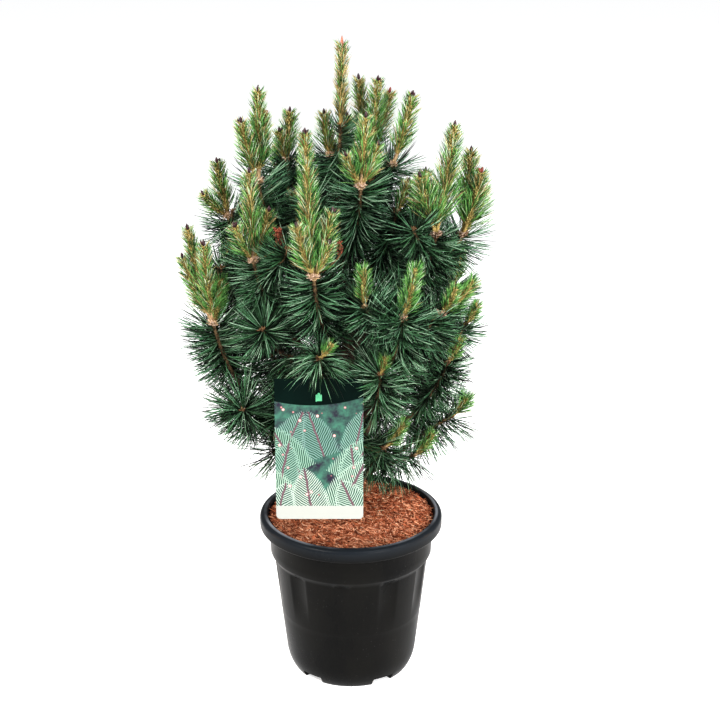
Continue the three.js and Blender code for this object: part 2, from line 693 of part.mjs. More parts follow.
function makeMass(branch, branches, limbs, trunkSpace) {
  const leader = branch.mass.name === "leader";
  const solids = branch.shoots.map((shoot) => {
    const length = shoot.curve.getLength() * (1 - shoot.from);
    const steps = shoot.side ? SIDE_STEPS : Math.max(5, Math.round(length / SHOOT_STEP));
    const base = shoot.side ? SIDE_RADIUS : BOUGH_TIP_RADIUS;
    const points = along(shoot.curve, shoot.from, 1, steps);
    const rule = needleRule(shoot, branch, branches, limbs, shoot.needlesFrom, shoot.from,
      OLD_NEEDLE, NEEDLE_SPREAD_LOW, NEEDLE_SPREAD_HIGH);
    return limb(points, (t) => lerp(base, HUB_RADIUS, t), SHOOT_SIDES, rule);
  });
  branch.candles.forEach((candle) => {
    const steps = Math.max(2, Math.round(candle.length / CANDLE_STEP));
    const needle = leader ? LEADER_NEEDLE : Math.min(NEW_NEEDLE, candle.length * 0.5);
    const sunk = candle.base.clone().addScaledVector(candle.direction, -CANDLE_SUNK);
    const points = candlePoints({ ...candle, base: sunk }, steps);
    const rule = needleRule(candle, branch, branches, limbs, BARE_CANDLE, 0,
      needle, NEW_NEEDLE_SPREAD, NEW_NEEDLE_SPREAD);
    const radiusAt = (t) => CANDLE_RADIUS * lerp(1, CANDLE_TAPER, t);
    solids.push(limb(points, radiusAt, CANDLE_SIDES, rule, true));
  });
  let mass = solids.reduce((sum, solid) => sum.add(solid));
  if (branch.whole && !leader) mass = mass.subtract(trunkSpace);
  return largestPiece(mass.asOriginal().simplify(SIMPLIFY));
}

// ---------------------------------------------------------------- hang tag and its tie

// A card with square upper corners, rounded lower ones and a punched hole that rests on the tie.
function tagGeometry() {
  const shape = new THREE.Shape();
  const half = TAG_WIDTH / 2;
  const corner = TAG_CORNER;
  shape.moveTo(-half + corner, 0);
  shape.lineTo(half - corner, 0);
  shape.absarc(half - corner, corner, corner, -Math.PI / 2, 0, false);
  shape.lineTo(half, TAG_HEIGHT);
  shape.lineTo(-half, TAG_HEIGHT);
  shape.lineTo(-half, corner);
  shape.absarc(-half + corner, corner, corner, Math.PI, Math.PI * 1.5, false);
  const hole = new THREE.Path();
  const hang = TAG_HOLE_RADIUS - TIE_RADIUS - CLEARANCE - 0.1;
  hole.absarc(0, TAG_HOLE_HEIGHT - TAG_BOTTOM - hang, TAG_HOLE_RADIUS, 0, Math.PI * 2, true);
  shape.holes.push(hole);
  return new THREE.ExtrudeGeometry(shape, { depth: TAG_THICKNESS, bevelEnabled: false, curveSegments: 4 });
}

// The tie rings the stem behind the tag, comes forward through the tag's hole and ends in a flat tab.
function tiePath() {
  const stem = stemBehindTag();
  const ring = BOUGH_TIP_RADIUS * 1.3 + CLEARANCE + TIE_RADIUS;
  const points = [];
  for (let n = 0; n <= TIE_COIL_STEPS; n++) {
    const turn = radians(TIE_COIL_START + TIE_COIL_STEP * n);
    const rise = TIE_COIL_RISE - TIE_COIL_FALL * n;
    const coil = vec(ring * Math.cos(turn), ring * Math.sin(turn) - TIE_PULL, rise);
    points.push(coil.add(stem));
  }
  points.push(vec(TAG_CENTRE_X, TAG_Y + 8, TAG_HOLE_HEIGHT));
  points.push(vec(TAG_CENTRE_X, TAG_Y, TAG_HOLE_HEIGHT));
  points.push(vec(TAG_CENTRE_X, TAG_Y - TIE_FORWARD, TAG_HOLE_HEIGHT - 1));
  return new THREE.CatmullRomCurve3(points);
}

function stemBehindTag() {
  const mass = MASSES.find(({ name }) => name === "front_low");
  const curve = branchCurve(trunkPoint(mass.foot), vec(...mass.whorls[0].at));
  let share = 1;
  while (curve.getPointAt(share).z > TAG_HOLE_HEIGHT + TIE_RISE) share -= 0.005;
  return curve.getPointAt(share);
}

function makeTie() {
  const path = tiePath();
  const tube = limb(path.getSpacedPoints(18), () => TIE_RADIUS, 4);
  const middle = TAG_HOLE_HEIGHT + 2 - TIE_END[2] / 2;
  const move = new THREE.Matrix4().makeTranslation(TAG_CENTRE_X, TAG_Y - TIE_FORWARD, middle);
  return tube.add(boxSolid(TIE_END, move));
}

// ---------------------------------------------------------------- the whole plant

function finish(color, roughness) {
  return new THREE.MeshStandardMaterial({ color, roughness, metalness: 0, flatShading: true });
}

const pine = new THREE.Group();
pine.name = "potted_mugo_pine";

function place(name, geometry, material) {
  const mesh = new THREE.Mesh(geometry, material);
  mesh.name = name;
  pine.add(mesh);
  return mesh;
}

const { branches, limbs } = growBranches();
const trunkSpace = makeTrunk(CLEARANCE);

place("pot", toGeometry(makePot()), finish(0x242526, 0.45));
place("mulch", toGeometry(makeMulch()), finish(0x9c5638, 0.95));
place("trunk", toGeometry(makeTrunk(0)), finish(0x4a3524, 0.9));
branches.forEach((branch) => {
  const { name } = branch.mass;
  if (!branch.whole) {
    place(`bough_${name}`, toGeometry(makeBough(branch, trunkSpace)), finish(0x523b29, 0.9));
  }
  const mass = makeMass(branch, branches, limbs, trunkSpace);
  place(`needles_${name}`, toGeometry(mass), finish(0x3c6a48, 0.6));
});

const tag = place("hang_tag", tagGeometry(), finish(0x1f3d2c, 0.5));
tag.rotation.x = Math.PI / 2;
tag.position.set(TAG_CENTRE_X, TAG_Y + TAG_THICKNESS / 2, TAG_BOTTOM);
place("tag_tie", toGeometry(makeTie()), finish(0x8fc79a, 0.5));

export default pine;
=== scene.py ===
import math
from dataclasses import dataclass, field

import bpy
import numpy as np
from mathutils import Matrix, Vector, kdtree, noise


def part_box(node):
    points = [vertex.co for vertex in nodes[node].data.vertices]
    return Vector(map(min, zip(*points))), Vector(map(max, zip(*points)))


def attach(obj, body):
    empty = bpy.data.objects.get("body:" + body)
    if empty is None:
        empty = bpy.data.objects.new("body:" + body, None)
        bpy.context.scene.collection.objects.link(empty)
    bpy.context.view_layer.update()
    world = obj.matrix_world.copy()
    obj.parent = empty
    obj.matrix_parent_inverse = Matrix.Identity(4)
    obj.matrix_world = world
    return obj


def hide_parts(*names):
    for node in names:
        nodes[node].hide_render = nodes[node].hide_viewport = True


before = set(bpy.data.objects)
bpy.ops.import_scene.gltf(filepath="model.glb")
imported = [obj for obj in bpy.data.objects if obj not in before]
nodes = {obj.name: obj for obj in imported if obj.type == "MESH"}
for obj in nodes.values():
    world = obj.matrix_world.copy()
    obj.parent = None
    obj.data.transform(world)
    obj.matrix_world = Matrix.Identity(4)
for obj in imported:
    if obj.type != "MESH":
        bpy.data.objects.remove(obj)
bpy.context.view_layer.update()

# %% [markdown]
# # A young mugo pine in its nursery pot
#
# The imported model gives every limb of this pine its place: a tapering trunk, the boughs, and thirty
# masses of foliage that each keep to their own space. Its masses are plain blades, though, and a real
# pine is tens of thousands of needles. This lesson grows the same branches again by the same rule and
# carries them on to the finest twigs: bark, shoots, candles, buds, sheaths and single needles.
#
# Everything is in metres. Most pieces are arrays of points that NumPy works out at once, because a
# needle is a simple shape repeated very often. The mulch chips are made with Geometry Nodes.

TURN = 2 * math.pi
GOLDEN_ANGLE = 137.5
scene = bpy.context.scene

# %% [markdown]
# ## Camera
#
# The viewpoint comes first, because it decides how much detail a piece needs. A long lens, three metres
# away and half a metre above the plant's top, looks down by 21 degrees.

# %% Camera
CAMERA_PLACE = (0.0157, -2.818, 1.6524)
CAMERA_DOWN = 21.02
CAMERA_LENS = 90


def shown(name, data):
    """An object in the scene for a camera, lamp, mesh or curve."""
    thing = bpy.data.objects.new(name, data)
    scene.collection.objects.link(thing)
    return thing


camera = shown("camera", bpy.data.cameras.new("camera"))
camera.data.lens = CAMERA_LENS
camera.data.sensor_width = 36
camera.data.clip_end = 50
camera.location = CAMERA_PLACE
camera.rotation_euler = (math.radians(90 - CAMERA_DOWN), 0, 0)
scene.camera = camera
print("camera", CAMERA_PLACE, "looks down", CAMERA_DOWN)

# %% [markdown]
# ## Light and floor
#
# A pale floor and a pale sky give the even light of a studio tent. A soft box high on the left makes the
# upper needles bright, so that the crown has depth. Two fills on the right, one of them low, draw the
# upright highlights on the black pot. A narrow warm lamp on each side catches the pot's flanks, and a
# cool strip in front of it lights the crest of its rim. The Standard view keeps a white floor white.

# %% Light and floor
WARM = (1.0, 0.70, 0.45)
COOL = (0.84, 0.92, 1.0)
FLOOR_HALF = 10.0

scene.view_settings.view_transform = "Standard"
scene.view_settings.exposure = 0.2
scene.view_settings.gamma = 0.86

world = bpy.data.worlds.new("studio")
world.use_nodes = True
world.node_tree.nodes["Background"].inputs["Color"].default_value = (0.98, 0.99, 1.0, 1)
world.node_tree.nodes["Background"].inputs["Strength"].default_value = 0.30
scene.world = world


def soft_box(name, place, aim, size, power, colour=(1, 1, 1)):
    """A rectangular lamp at a place that faces a point."""
    lamp = bpy.data.lights.new(name, "AREA")
    lamp.shape = "RECTANGLE"
    lamp.size, lamp.size_y = size
    lamp.energy = power
    lamp.color = colour
    box = shown(name, lamp)
    box.location = place
    box.rotation_euler = (Vector(aim) - Vector(place)).to_track_quat("-Z", "Y").to_euler()


soft_box("key_above_left", (-1.4, -1.3, 2.6), (0, 0, 0.6), (1.2, 1.2), 104)
soft_box("fill_right", (2.0, -0.9, 1.3), (0, 0, 0.5), (0.8, 1.8), 30)
soft_box("fill_low", (1.5, -2.2, 0.9), (0, 0, 0.35), (1.0, 0.6), 36)
soft_box("edge_left", (-1.9, 0.3, 0.5), (0, 0, 0.3), (0.4, 1.3), 9, WARM)
soft_box("edge_right", (1.9, 0.3, 0.5), (0, 0, 0.3), (0.4, 1.3), 12, WARM)
soft_box("rim_front", (0.80, -1.15, 2.2), (0, -0.15, 0.29), (0.8, 0.2), 26, COOL)


def new_material(name, roughness=0.6, specular=0.5):
    """A material with its shader, whose constants are set on the shader's own sockets."""
    material = bpy.data.materials.new(name)
    material.use_nodes = True
    shader = material.node_tree.nodes["Principled BSDF"]
    shader.inputs["Roughness"].default_value = roughness
    shader.inputs["Specular IOR Level"].default_value = specular
    return material, material.node_tree, shader


def add_node(tree, kind, values=None, **settings):
    """A shader or geometry node with its settings and the values of its sockets."""
    node = tree.nodes.new(kind)
    for key, value in settings.items():
        setattr(node, key, value)
    for socket, value in (values or {}).items():
        node.inputs[socket].default_value = value
    return node


def maths(tree, operation, values=None):
    """A shader node that does one sum."""
    return add_node(tree, "ShaderNodeMath", values, operation=operation)


def remap(tree, low, high, to_low=0.0, to_high=1.0):
    """A shader node that maps a value from one range to another."""
    values = {"From Min": low, "From Max": high, "To Min": to_low, "To Max": to_high}
    return add_node(tree, "ShaderNodeMapRange", values)


def wire(tree, *links):
    """Links between nodes, each as (from node, its output, to node, its input)."""
    for source, output, target, socket in links:
        tree.links.new(source.outputs[output], target.inputs[socket])


corners = [(x * FLOOR_HALF, y * FLOOR_HALF, 0) for x, y in ((-1, -1), (1, -1), (1, 1), (-1, 1))]
floor_mesh = bpy.data.meshes.new("floor")
floor_mesh.from_pydata(corners, [], [(0, 1, 2, 3)])
floor = shown("floor", floor_mesh)
floor_material, _, floor_shader = new_material("floor_pale", roughness=0.9, specular=0.1)
floor_shader.inputs["Base Color"].default_value = (0.9, 0.9, 0.9, 1)
floor_shader.inputs["Emission Color"].default_value = (1, 1, 1, 1)
floor_shader.inputs["Emission Strength"].default_value = 0.56
floor_mesh.materials.append(floor_material)
print("floor", 2 * FLOOR_HALF, "m square")

# %% [markdown]
# ## Shared effects
#
# Real surfaces are never one colour. The group *mottle* blends two colours by cloudy noise, and the
# group *grain* turns fine noise into a bump. Both read Object coordinates, which stay with the piece.
# Each finish below places them with its own colours and sizes.

# %% Shared effects
# The colour sockets of a Mix node share their names with its other sockets, so they go by number.
MIX_FIRST, MIX_SECOND, MIX_RESULT = 6, 7, 2


def new_group(name, inputs, outputs):
    """An empty shader group with its inputs as (name, kind, default) and its outputs as (name, kind)."""
    group = bpy.data.node_groups.new(name, "ShaderNodeTree")
    for socket_name, kind, default in inputs:
        socket = group.interface.new_socket(socket_name, in_out="INPUT", socket_type=kind)
        socket.default_value = default
    for socket_name, kind in outputs:
        group.interface.new_socket(socket_name, in_out="OUTPUT", socket_type=kind)
    return group, group.nodes.new("NodeGroupInput"), group.nodes.new("NodeGroupOutput")


def stretched_place(tree, given):
    """Object coordinates, stretched by the group's own input."""
    where = add_node(tree, "ShaderNodeTexCoord")
    stretched = add_node(tree, "ShaderNodeVectorMath", operation="MULTIPLY")
    wire(tree, (where, "Object", stretched, 0), (given, "Stretch", stretched, 1))
    return stretched


mottle, given, result = new_group(
    "mottle",
    [("Dark", "NodeSocketColor", (0, 0, 0, 1)), ("Light", "NodeSocketColor", (1, 1, 1, 1)),
     ("Scale", "NodeSocketFloat", 100.0), ("Stretch", "NodeSocketVector", (1, 1, 1))],
    [("Color", "NodeSocketColor"), ("Mask", "NodeSocketFloat")])
cloud = add_node(mottle, "ShaderNodeTexNoise", {"Detail": 4.0, "Roughness": 0.6})
spread = remap(mottle, 0.35, 0.65)
blend = add_node(mottle, "ShaderNodeMix", data_type="RGBA")
wire(mottle,
     (stretched_place(mottle, given), "Vector", cloud, "Vector"),
     (given, "Scale", cloud, "Scale"),
     (cloud, "Fac", spread, "Value"),
     (spread, "Result", blend, "Factor"),
     (given, "Dark", blend, MIX_FIRST),
     (given, "Light", blend, MIX_SECOND),
     (blend, MIX_RESULT, result, "Color"),
     (spread, "Result", result, "Mask"))

grain, given, result = new_group(
    "grain",
    [("Scale", "NodeSocketFloat", 400.0), ("Strength", "NodeSocketFloat", 0.2),
     ("Stretch", "NodeSocketVector", (1, 1, 1))],
    [("Normal", "NodeSocketVector"), ("Mask", "NodeSocketFloat")])
fine = add_node(grain, "ShaderNodeTexNoise", {"Detail": 3.0, "Roughness": 0.6})
bump = add_node(grain, "ShaderNodeBump", {"Distance": 0.001})
wire(grain,
     (stretched_place(grain, given), "Vector", fine, "Vector"),
     (given, "Scale", fine, "Scale"),
     (fine, "Fac", bump, "Height"),
     (given, "Strength", bump, "Strength"),
     (bump, "Normal", result, "Normal"),
     (fine, "Fac", result, "Mask"))


def rgb(red, green, blue):
    """A colour as seen on a screen, 0 to 255, as the linear values that a shader takes."""
    values = [c / 255 for c in (red, green, blue)]
    return tuple(c / 12.92 if c <= 0.04045 else ((c + 0.055) / 1.055) ** 2.4 for c in values) + (1.0,)


def place_mottle(tree, dark, light, scale, stretch=(1, 1, 1)):
    """The mottle group in a material, with its own colours and size."""
    values = {"Dark": dark, "Light": light, "Scale": scale, "Stretch": stretch}
    return add_node(tree, "ShaderNodeGroup", values, node_tree=mottle)


def place_grain(tree, shader, scale, strength, stretch=(1, 1, 1)):
    """The grain group in a material, as the bump of its shader."""
    values = {"Scale": scale, "Strength": strength, "Stretch": stretch}
    node = add_node(tree, "ShaderNodeGroup", values, node_tree=grain)
    wire(tree, (node, "Normal", shader, "Normal"))


def mottled(name, dark, light, scale, roughness, specular=0.4, bump_scale=500, bump_strength=0.2,
            stretch=(1, 1, 1)):
    """A finish of two clouded colours with a fine grain."""
    material, tree, shader = new_material(name, roughness, specular)
    colour = place_mottle(tree, dark, light, scale, stretch)
    wire(tree, (colour, "Color", shader, "Base Color"))
    place_grain(tree, shader, bump_scale, bump_strength, stretch)
    return material


print("groups", [group.name for group in bpy.data.node_groups])

# %% [markdown]
# ## Meshes from arrays
#
# A mesh is a list of points and a list of triangles between them. `Pile` gathers many small closed
# shapes of one kind, and joins them into one piece at the end. Blender then holds a few dozen pieces
# and not fifty thousand, which keeps it quick.

# %% Meshes from arrays


def make_piece(name, points, triangles, material, smooth=True):
    """A mesh object from an array of points and an array of triangles."""
    mesh = bpy.data.meshes.new(name)
    mesh.vertices.add(len(points))
    mesh.vertices.foreach_set("co", np.asarray(points, np.float32).ravel())
    mesh.loops.add(3 * len(triangles))
    mesh.loops.foreach_set("vertex_index", np.asarray(triangles, np.int32).ravel())
    mesh.polygons.add(len(triangles))
    mesh.polygons.foreach_set("loop_start", np.arange(0, 3 * len(triangles), 3, dtype=np.int32))
    mesh.update(calc_edges=True)
    if smooth:
        mesh.shade_smooth()
    mesh.materials.append(material)
    return shown(name, mesh)


class Pile:
    """Small closed shapes of one kind, gathered to be joined."""

    def __init__(self):
        self.points = []
        self.triangles = []
        self.count = 0

    def add(self, points, triangles):
        """Takes in one shape, or many at once."""
        self.points.append(points)
        self.triangles.append(np.asarray(triangles) + self.count)
        self.count += len(points)

    def piece(self, name, material):
        """Everything gathered, as one piece."""
        points = np.concatenate(self.points)
        triangles = np.concatenate(self.triangles)
        print(f"{name}: {len(triangles)} triangles")
        return make_piece(name, points, triangles, material)


def unit(vectors):
    """Each vector at length 1."""
    return vectors / np.linalg.norm(vectors, axis=-1, keepdims=True)


def ring_faces(rings, sides):
    """Triangles between rings of points, closed by a fan to a pole point at each end."""
    index = np.arange(rings * sides).reshape(rings, sides)
    beside = np.roll(index, -1, axis=1)
    a, b, c, d = index[:-1], beside[:-1], beside[1:], index[1:]
    walls = np.stack([np.stack([a, b, c], -1), np.stack([a, c, d], -1)]).reshape(-1, 3)
    first = np.full(sides, rings * sides)
    foot = np.stack([beside[0], index[0], first], -1)
    head = np.stack([index[-1], beside[-1], first + 1], -1)
    return np.concatenate([walls, foot, head])


class Path:
    """A line in space that is read by the share of its length, from 0 to 1."""

    def __init__(self, points):
        self.points = np.asarray(points, float)
        steps = np.linalg.norm(np.diff(self.points, axis=0), axis=1)
        self.marks = np.concatenate([[0.0], np.cumsum(steps)])
        self.length = self.marks[-1]

    def at(self, share):
        """The point at a share of the length, or a row of them."""
        mark = np.asarray(share) * self.length
        return np.stack([np.interp(mark, self.marks, self.points[:, k]) for k in range(3)], axis=-1)


REFERENCE = np.array([0.04, 1.0, 0.02])
CAP_BULGE = 0.3


def frames(path, shares):
    """Points on a path with three axes at each: along it, across it and beside it."""
    shares = np.asarray(shares, float)
    along = unit(path.at(np.minimum(shares + 0.01, 1)) - path.at(np.maximum(shares - 0.01, 0)))
    across = unit(np.cross(along, REFERENCE))
    return path.at(shares), along, across, np.cross(along, across)


def around(across, beside, turns):
    """Directions outwards at turns all round an axis, or round each of many axes."""
    return across[..., None, :] * np.cos(turns)[:, None] + beside[..., None, :] * np.sin(turns)[:, None]


def tube(path, start, end, rings, sides, radius_at, relief=None):
    """A closed round limb along part of a path. relief gives each point's extra radius."""
    shares = np.linspace(start, end, rings)
    points, along, across, beside = frames(path, shares)
    turns = np.arange(sides) * TURN / sides
    outward = around(across, beside, turns)
    radius = np.asarray([radius_at(share) for share in shares])[:, None] * np.ones(sides)
    if relief is not None:
        radius = radius + relief(points[:, None] + outward * radius[..., None], turns)
    skin = points[:, None] + outward * radius[..., None]
    foot = points[0] - along[0] * radius[0].mean() * CAP_BULGE
    head = points[-1] + along[-1] * radius[-1].mean() * CAP_BULGE
    return np.concatenate([skin.reshape(-1, 3), [foot, head]]), ring_faces(rings, sides)


print("a limb of 40 rings with 12 sides has", len(ring_faces(40, 12)), "triangles")

# %% [markdown]
# ## The growth rule
#
# A mountain pine grows one whorl a year. Each bough leaves the trunk at about 45 degrees, bends up,
# and ends in a knot, from which the new season's candles rise. The table gives, for each mass of
# foliage, the height where its bough leaves the trunk and its whorls: the knot's place, and the length
# and sideways lean of each candle. All else follows by rule, so the shape can be read and changed.

# %% The growth rule
LEADER_HUB = (-0.015, 0.0, 0.970)
MASSES = [
    ("leader", 0.850, [(LEADER_HUB, [(0.140, 1)])]),
    ("top_left", 0.775, [((-0.034, 0.052, 0.908), [(0.080, -7)])]),
    ("top_right", 0.755, [((0.032, 0.034, 0.904), [(0.143, -8), (0.148, 5), (0.124, 16)]),
                          ((0.068, -0.012, 0.908), [(0.127, 15)])]),
    ("top_front", 0.735, [((0.017, -0.080, 0.892), [(0.119, 4), (0.067, -24), (0.080, 22)])]),
    ("top_back", 0.742, [((-0.012, 0.115, 0.862), [(0.105, 3), (0.070, -20)])]),
    ("right_inner", 0.690, [((0.074, -0.052, 0.842), [(0.063, 20)])]),
    ("left_top_back", 0.692, [((-0.105, 0.072, 0.894), [(0.090, 4), (0.063, -12)])]),
    ("left_top", 0.665, [((-0.148, -0.022, 0.884), [(0.155, 1), (0.115, -13), (0.118, 6)]),
                         ((-0.092, -0.002, 0.828), [(0.045, -1)])]),
    ("back_high", 0.630, [((-0.115, 0.145, 0.800), [(0.110, -3), (0.070, 16)])]),
    ("back_right_high", 0.610, [((0.118, 0.112, 0.788), [(0.085, 6), (0.060, -14)])]),
    ("right_high", 0.590, [((0.137, -0.066, 0.808), [(0.186, 9), (0.115, -15), (0.092, -6)]),
                           ((0.182, -0.018, 0.794), [(0.146, 5), (0.124, 14), (0.090, 22)])]),
    ("left_high", 0.575, [((-0.200, 0.022, 0.813), [(0.100, -11), (0.066, -44)])]),
    ("front_centre", 0.564, [((-0.056, -0.180, 0.775),
                              [(0.232, -3), (0.099, -16), (0.115, 16), (0.070, 24)])]),
    ("left_front", 0.532, [((-0.152, -0.112, 0.780), [(0.150, -2), (0.076, -25), (0.092, 17)]),
                           ((-0.138, -0.150, 0.678), [(0.014, -10)])]),
    ("back_mid", 0.522, [((-0.015, 0.205, 0.735), [(0.120, -2), (0.080, 18), (0.070, -20)])]),
    ("front_right", 0.502, [((0.082, -0.200, 0.715), [(0.086, 13)]),
                            ((0.024, -0.176, 0.724), [(0.066, -3)])]),
    ("right_mid", 0.480, [((0.146, -0.094, 0.684), [(0.078, 44), (0.056, 26)]),
                          ((0.188, -0.024, 0.640), [(0.046, 29)])]),
    ("back_left_mid", 0.474, [((-0.200, 0.104, 0.684), [(0.080, -8), (0.055, 18)])]),
    ("back_right_mid", 0.450, [((0.172, 0.092, 0.668), [(0.075, 12), (0.052, -12)])]),
    ("left_low", 0.368, [((-0.220, -0.092, 0.668), [(0.168, -14), (0.150, -4), (0.126, -24), (0.080, 10)])]),
    ("front_low", 0.428, [((-0.048, -0.192, 0.645), [(0.036, 38)])]),
    ("front_right_low", 0.410, [((0.048, -0.188, 0.616), [(0.035, 14)])]),
    ("back_low", 0.398, [((0.025, 0.190, 0.592), [(0.055, 4)])]),
    ("right_low", 0.392, [((0.158, -0.064, 0.588), [(0.051, 27)])]),
    ("back_left_low", 0.386, [((-0.150, 0.142, 0.548), [(0.050, -10)])]),
    ("left_bottom", 0.350, [((-0.190, -0.114, 0.540), [(0.014, -10)])]),
    ("right_bottom", 0.346, [((0.172, 0.016, 0.460), [(0.044, 34)])]),
    ("back_bottom", 0.336, [((0.030, 0.138, 0.446), [(0.040, 10)])]),
    ("front_bottom", 0.328, [((0.055, -0.104, 0.454), [(0.059, 36)]), ((0.106, -0.052, 0.416), [(0.055, 36)]),
                             ((-0.004, -0.118, 0.480), [(0.030, 50)])]),
    ("left_foot", 0.316, [((-0.128, -0.034, 0.414), [(0.014, -20)])]),
]
NO_BOUGH = ("leader", "top_left", "top_right", "top_front", "top_back", "right_inner")
print(len(NO_BOUGH), "of", len(MASSES), "masses rise straight from the trunk")

# %% [markdown]
# ## Trunk and branches
#
# The trunk tapers, sways a little on its way up and flares at the soil. A branch is a Bezier curve
# between its fork and its knot, which are both known. One handle sends it outwards and the other turns
# it up at its end: upright on high branches, leaning outwards on low ones.

# %% Trunk and branches
SOIL_TOP = 0.285
TRUNK_TOP = 0.850
TRUNK_RADIUS = 0.014
TRUNK_TOP_RADIUS = 0.005
TRUNK_FLARE = 0.009
FLARE_HEIGHT = 0.016
TRUNK_SWAY = 0.006
TRUNK_SWAY_BACK = 0.0042
# The handles of a branch's curve, as shares of its way out and of its rise.
START_HANDLE = (0.4, 0.25)
LEANING_HANDLE = (-0.36, -0.24)
UPRIGHT_HANDLE = (-0.12, -0.5)
LEANING_BELOW = 0.430
UPRIGHT_ABOVE = 0.660
UP = np.array([0.0, 0.0, 1.0])


def lerp(a, b, t):
    """The value at share t of the way from a to b."""
    return a + (b - a) * t


def smooth_step(x, low, high):
    """0 below low, 1 above high, and an even rise between."""
    t = min(max((x - low) / (high - low), 0.0), 1.0)
    return t * t * (3 - 2 * t)


def trunk_point(height):
    """The middle of the swaying trunk at a height."""
    t = (height - SOIL_TOP) / (LEADER_HUB[2] - SOIL_TOP)
    x = LEADER_HUB[0] * t + TRUNK_SWAY * math.sin(TURN * t)
    return np.array([x, TRUNK_SWAY_BACK * math.sin(1.5 * TURN * t), height])


def trunk_radius(height):
    """The trunk's taper, with a flare at the soil."""
    t = (height - SOIL_TOP) / (TRUNK_TOP - SOIL_TOP)
    flare = TRUNK_FLARE * math.exp(-(height - SOIL_TOP) / FLARE_HEIGHT)
    return lerp(TRUNK_RADIUS, TRUNK_TOP_RADIUS, t) + flare


def bezier(a, b, c, d, steps=200):
    """A smooth curve from a to d, drawn towards b and c."""
    t = np.linspace(0, 1, steps + 1)[:, None]
    return Path((1 - t) ** 3 * a + 3 * (1 - t) ** 2 * t * b + 3 * (1 - t) * t * t * c + t ** 3 * d)


def branch_path(start, hub):
    """Out from its start at about 45 degrees and upright at its whorl. Low whorls lean outwards."""
    out = np.array([hub[0] - start[0], hub[1] - start[1], 0.0])
    rise = (hub[2] - start[2]) * UP
    upright = smooth_step(hub[2], LEANING_BELOW, UPRIGHT_ABOVE)
    back, down = (lerp(low, high, upright) for low, high in zip(LEANING_HANDLE, UPRIGHT_HANDLE))
    first = start + START_HANDLE[0] * out + START_HANDLE[1] * rise
    return bezier(start, first, hub + out * back + rise * down, hub)


print("the trunk's radius at the soil", round(trunk_radius(SOIL_TOP), 4))

# %% [markdown]
# ## Masses of foliage
#
# A mass is the foliage on one bough: the stem that carries the bough on, a branch to each further
# whorl, and the candles. A record keeps each twig's line and the shares of it where its own wood and
# its needles start, because all later steps read them.

# %% Masses of foliage
STEM_LENGTH = 0.150
STEM_SHARE = 0.55
CLEARANCE = 0.0003
LEADER_STEP = 0.040
BARE_SHARE = 0.1
SECOND_BARE_SHARE = 0.2
CANDLE_BARE_SHARE = 0.05
CANDLE_SWAY = 0.16
FORK_LOWEST = 0.08
FORK_HIGHEST = 0.85
FORK_SLOPE = 0.6
STEM_STEPS = 24
CANDLE_STEPS = 12


@dataclass
class Twig:
    """A shoot or candle: its line, the share where its own wood starts and where its needles start."""

    path: Path
    start: float
    needles_from: float
    steps: int
    side: bool = False

    def __post_init__(self):
        self.axis = self.path.at(np.linspace(self.start, 1, self.steps + 1))


@dataclass
class Mass:
    """A mass of foliage: its bough's line and the twigs that fork from it."""

    name: str
    number: int
    hub: np.ndarray
    path: Path
    stem_from: float
    shoots: list = field(default_factory=list)
    candles: list = field(default_factory=list)


def add_candles(mass, hub, candles):
    """A whorl's candles, which lean to the sides as the table says and a little to and fro."""
    for n, (length, lean) in enumerate(candles):
        sway = CANDLE_SWAY * math.sin(math.radians(GOLDEN_ANGLE * (n + 1))) if len(candles) > 1 else 0.0
        direction = unit(np.array([math.sin(math.radians(lean)), sway, math.cos(math.radians(lean))]))
        path = Path([hub, hub + direction * length])
        mass.candles.append(Twig(path, 0.0, CANDLE_BARE_SHARE, CANDLE_STEPS))


def fork_share(path, stem_from, hub):
    """A second whorl's branch leaves the main stem low enough to rise to its whorl."""
    best = lerp(stem_from, 1, FORK_LOWEST)
    for share in np.arange(FORK_LOWEST, FORK_HIGHEST, 0.01):
        p = path.at(lerp(stem_from, 1, share))
        if p[2] <= hub[2] - FORK_SLOPE * math.hypot(hub[0] - p[0], hub[1] - p[1]):
            best = lerp(stem_from, 1, share)
    return best


def grow_mass(number, name, foot, whorls):
    """One row of the table: its bough and stem, a branch to each further whorl, and the candles."""
    hub = np.array(whorls[0][0])
    start = trunk_point(foot)
    if name == "leader":
        path = bezier(start, trunk_point(foot + LEADER_STEP), trunk_point(foot + 2 * LEADER_STEP), hub)
    else:
        path = branch_path(start, hub)
    stem = min(STEM_LENGTH, STEM_SHARE * path.length)
    stem_from = 0.0 if name in NO_BOUGH else 1 - (stem - CLEARANCE) / path.length
    needles_from = BARE_SHARE if name == "leader" else max(1 - STEM_LENGTH / path.length, stem_from)
    mass = Mass(name, number, hub, path, stem_from)
    mass.shoots.append(Twig(path, stem_from, lerp(needles_from, 1, BARE_SHARE), STEM_STEPS))
    add_candles(mass, hub, whorls[0][1])
    for place, candles in whorls[1:]:
        second = np.array(place)
        fork = path.at(fork_share(path, max(needles_from, stem_from), second))
        mass.shoots.append(Twig(branch_path(fork, second), 0.0, SECOND_BARE_SHARE, STEM_STEPS))
        add_candles(mass, second, candles)
    return mass


masses = [grow_mass(number, *row) for number, row in enumerate(MASSES)]
print(len(masses), "masses,", sum(len(mass.candles) for mass in masses), "candles")

# %% [markdown]
# ## The hang tag's place
#
# A card hangs in front of the foliage by a tie round a stem. Their place comes before their shape,
# because twigs and needles keep clear of them. The tie follows a smooth line through points round the
# stem and on through the hole in the card.

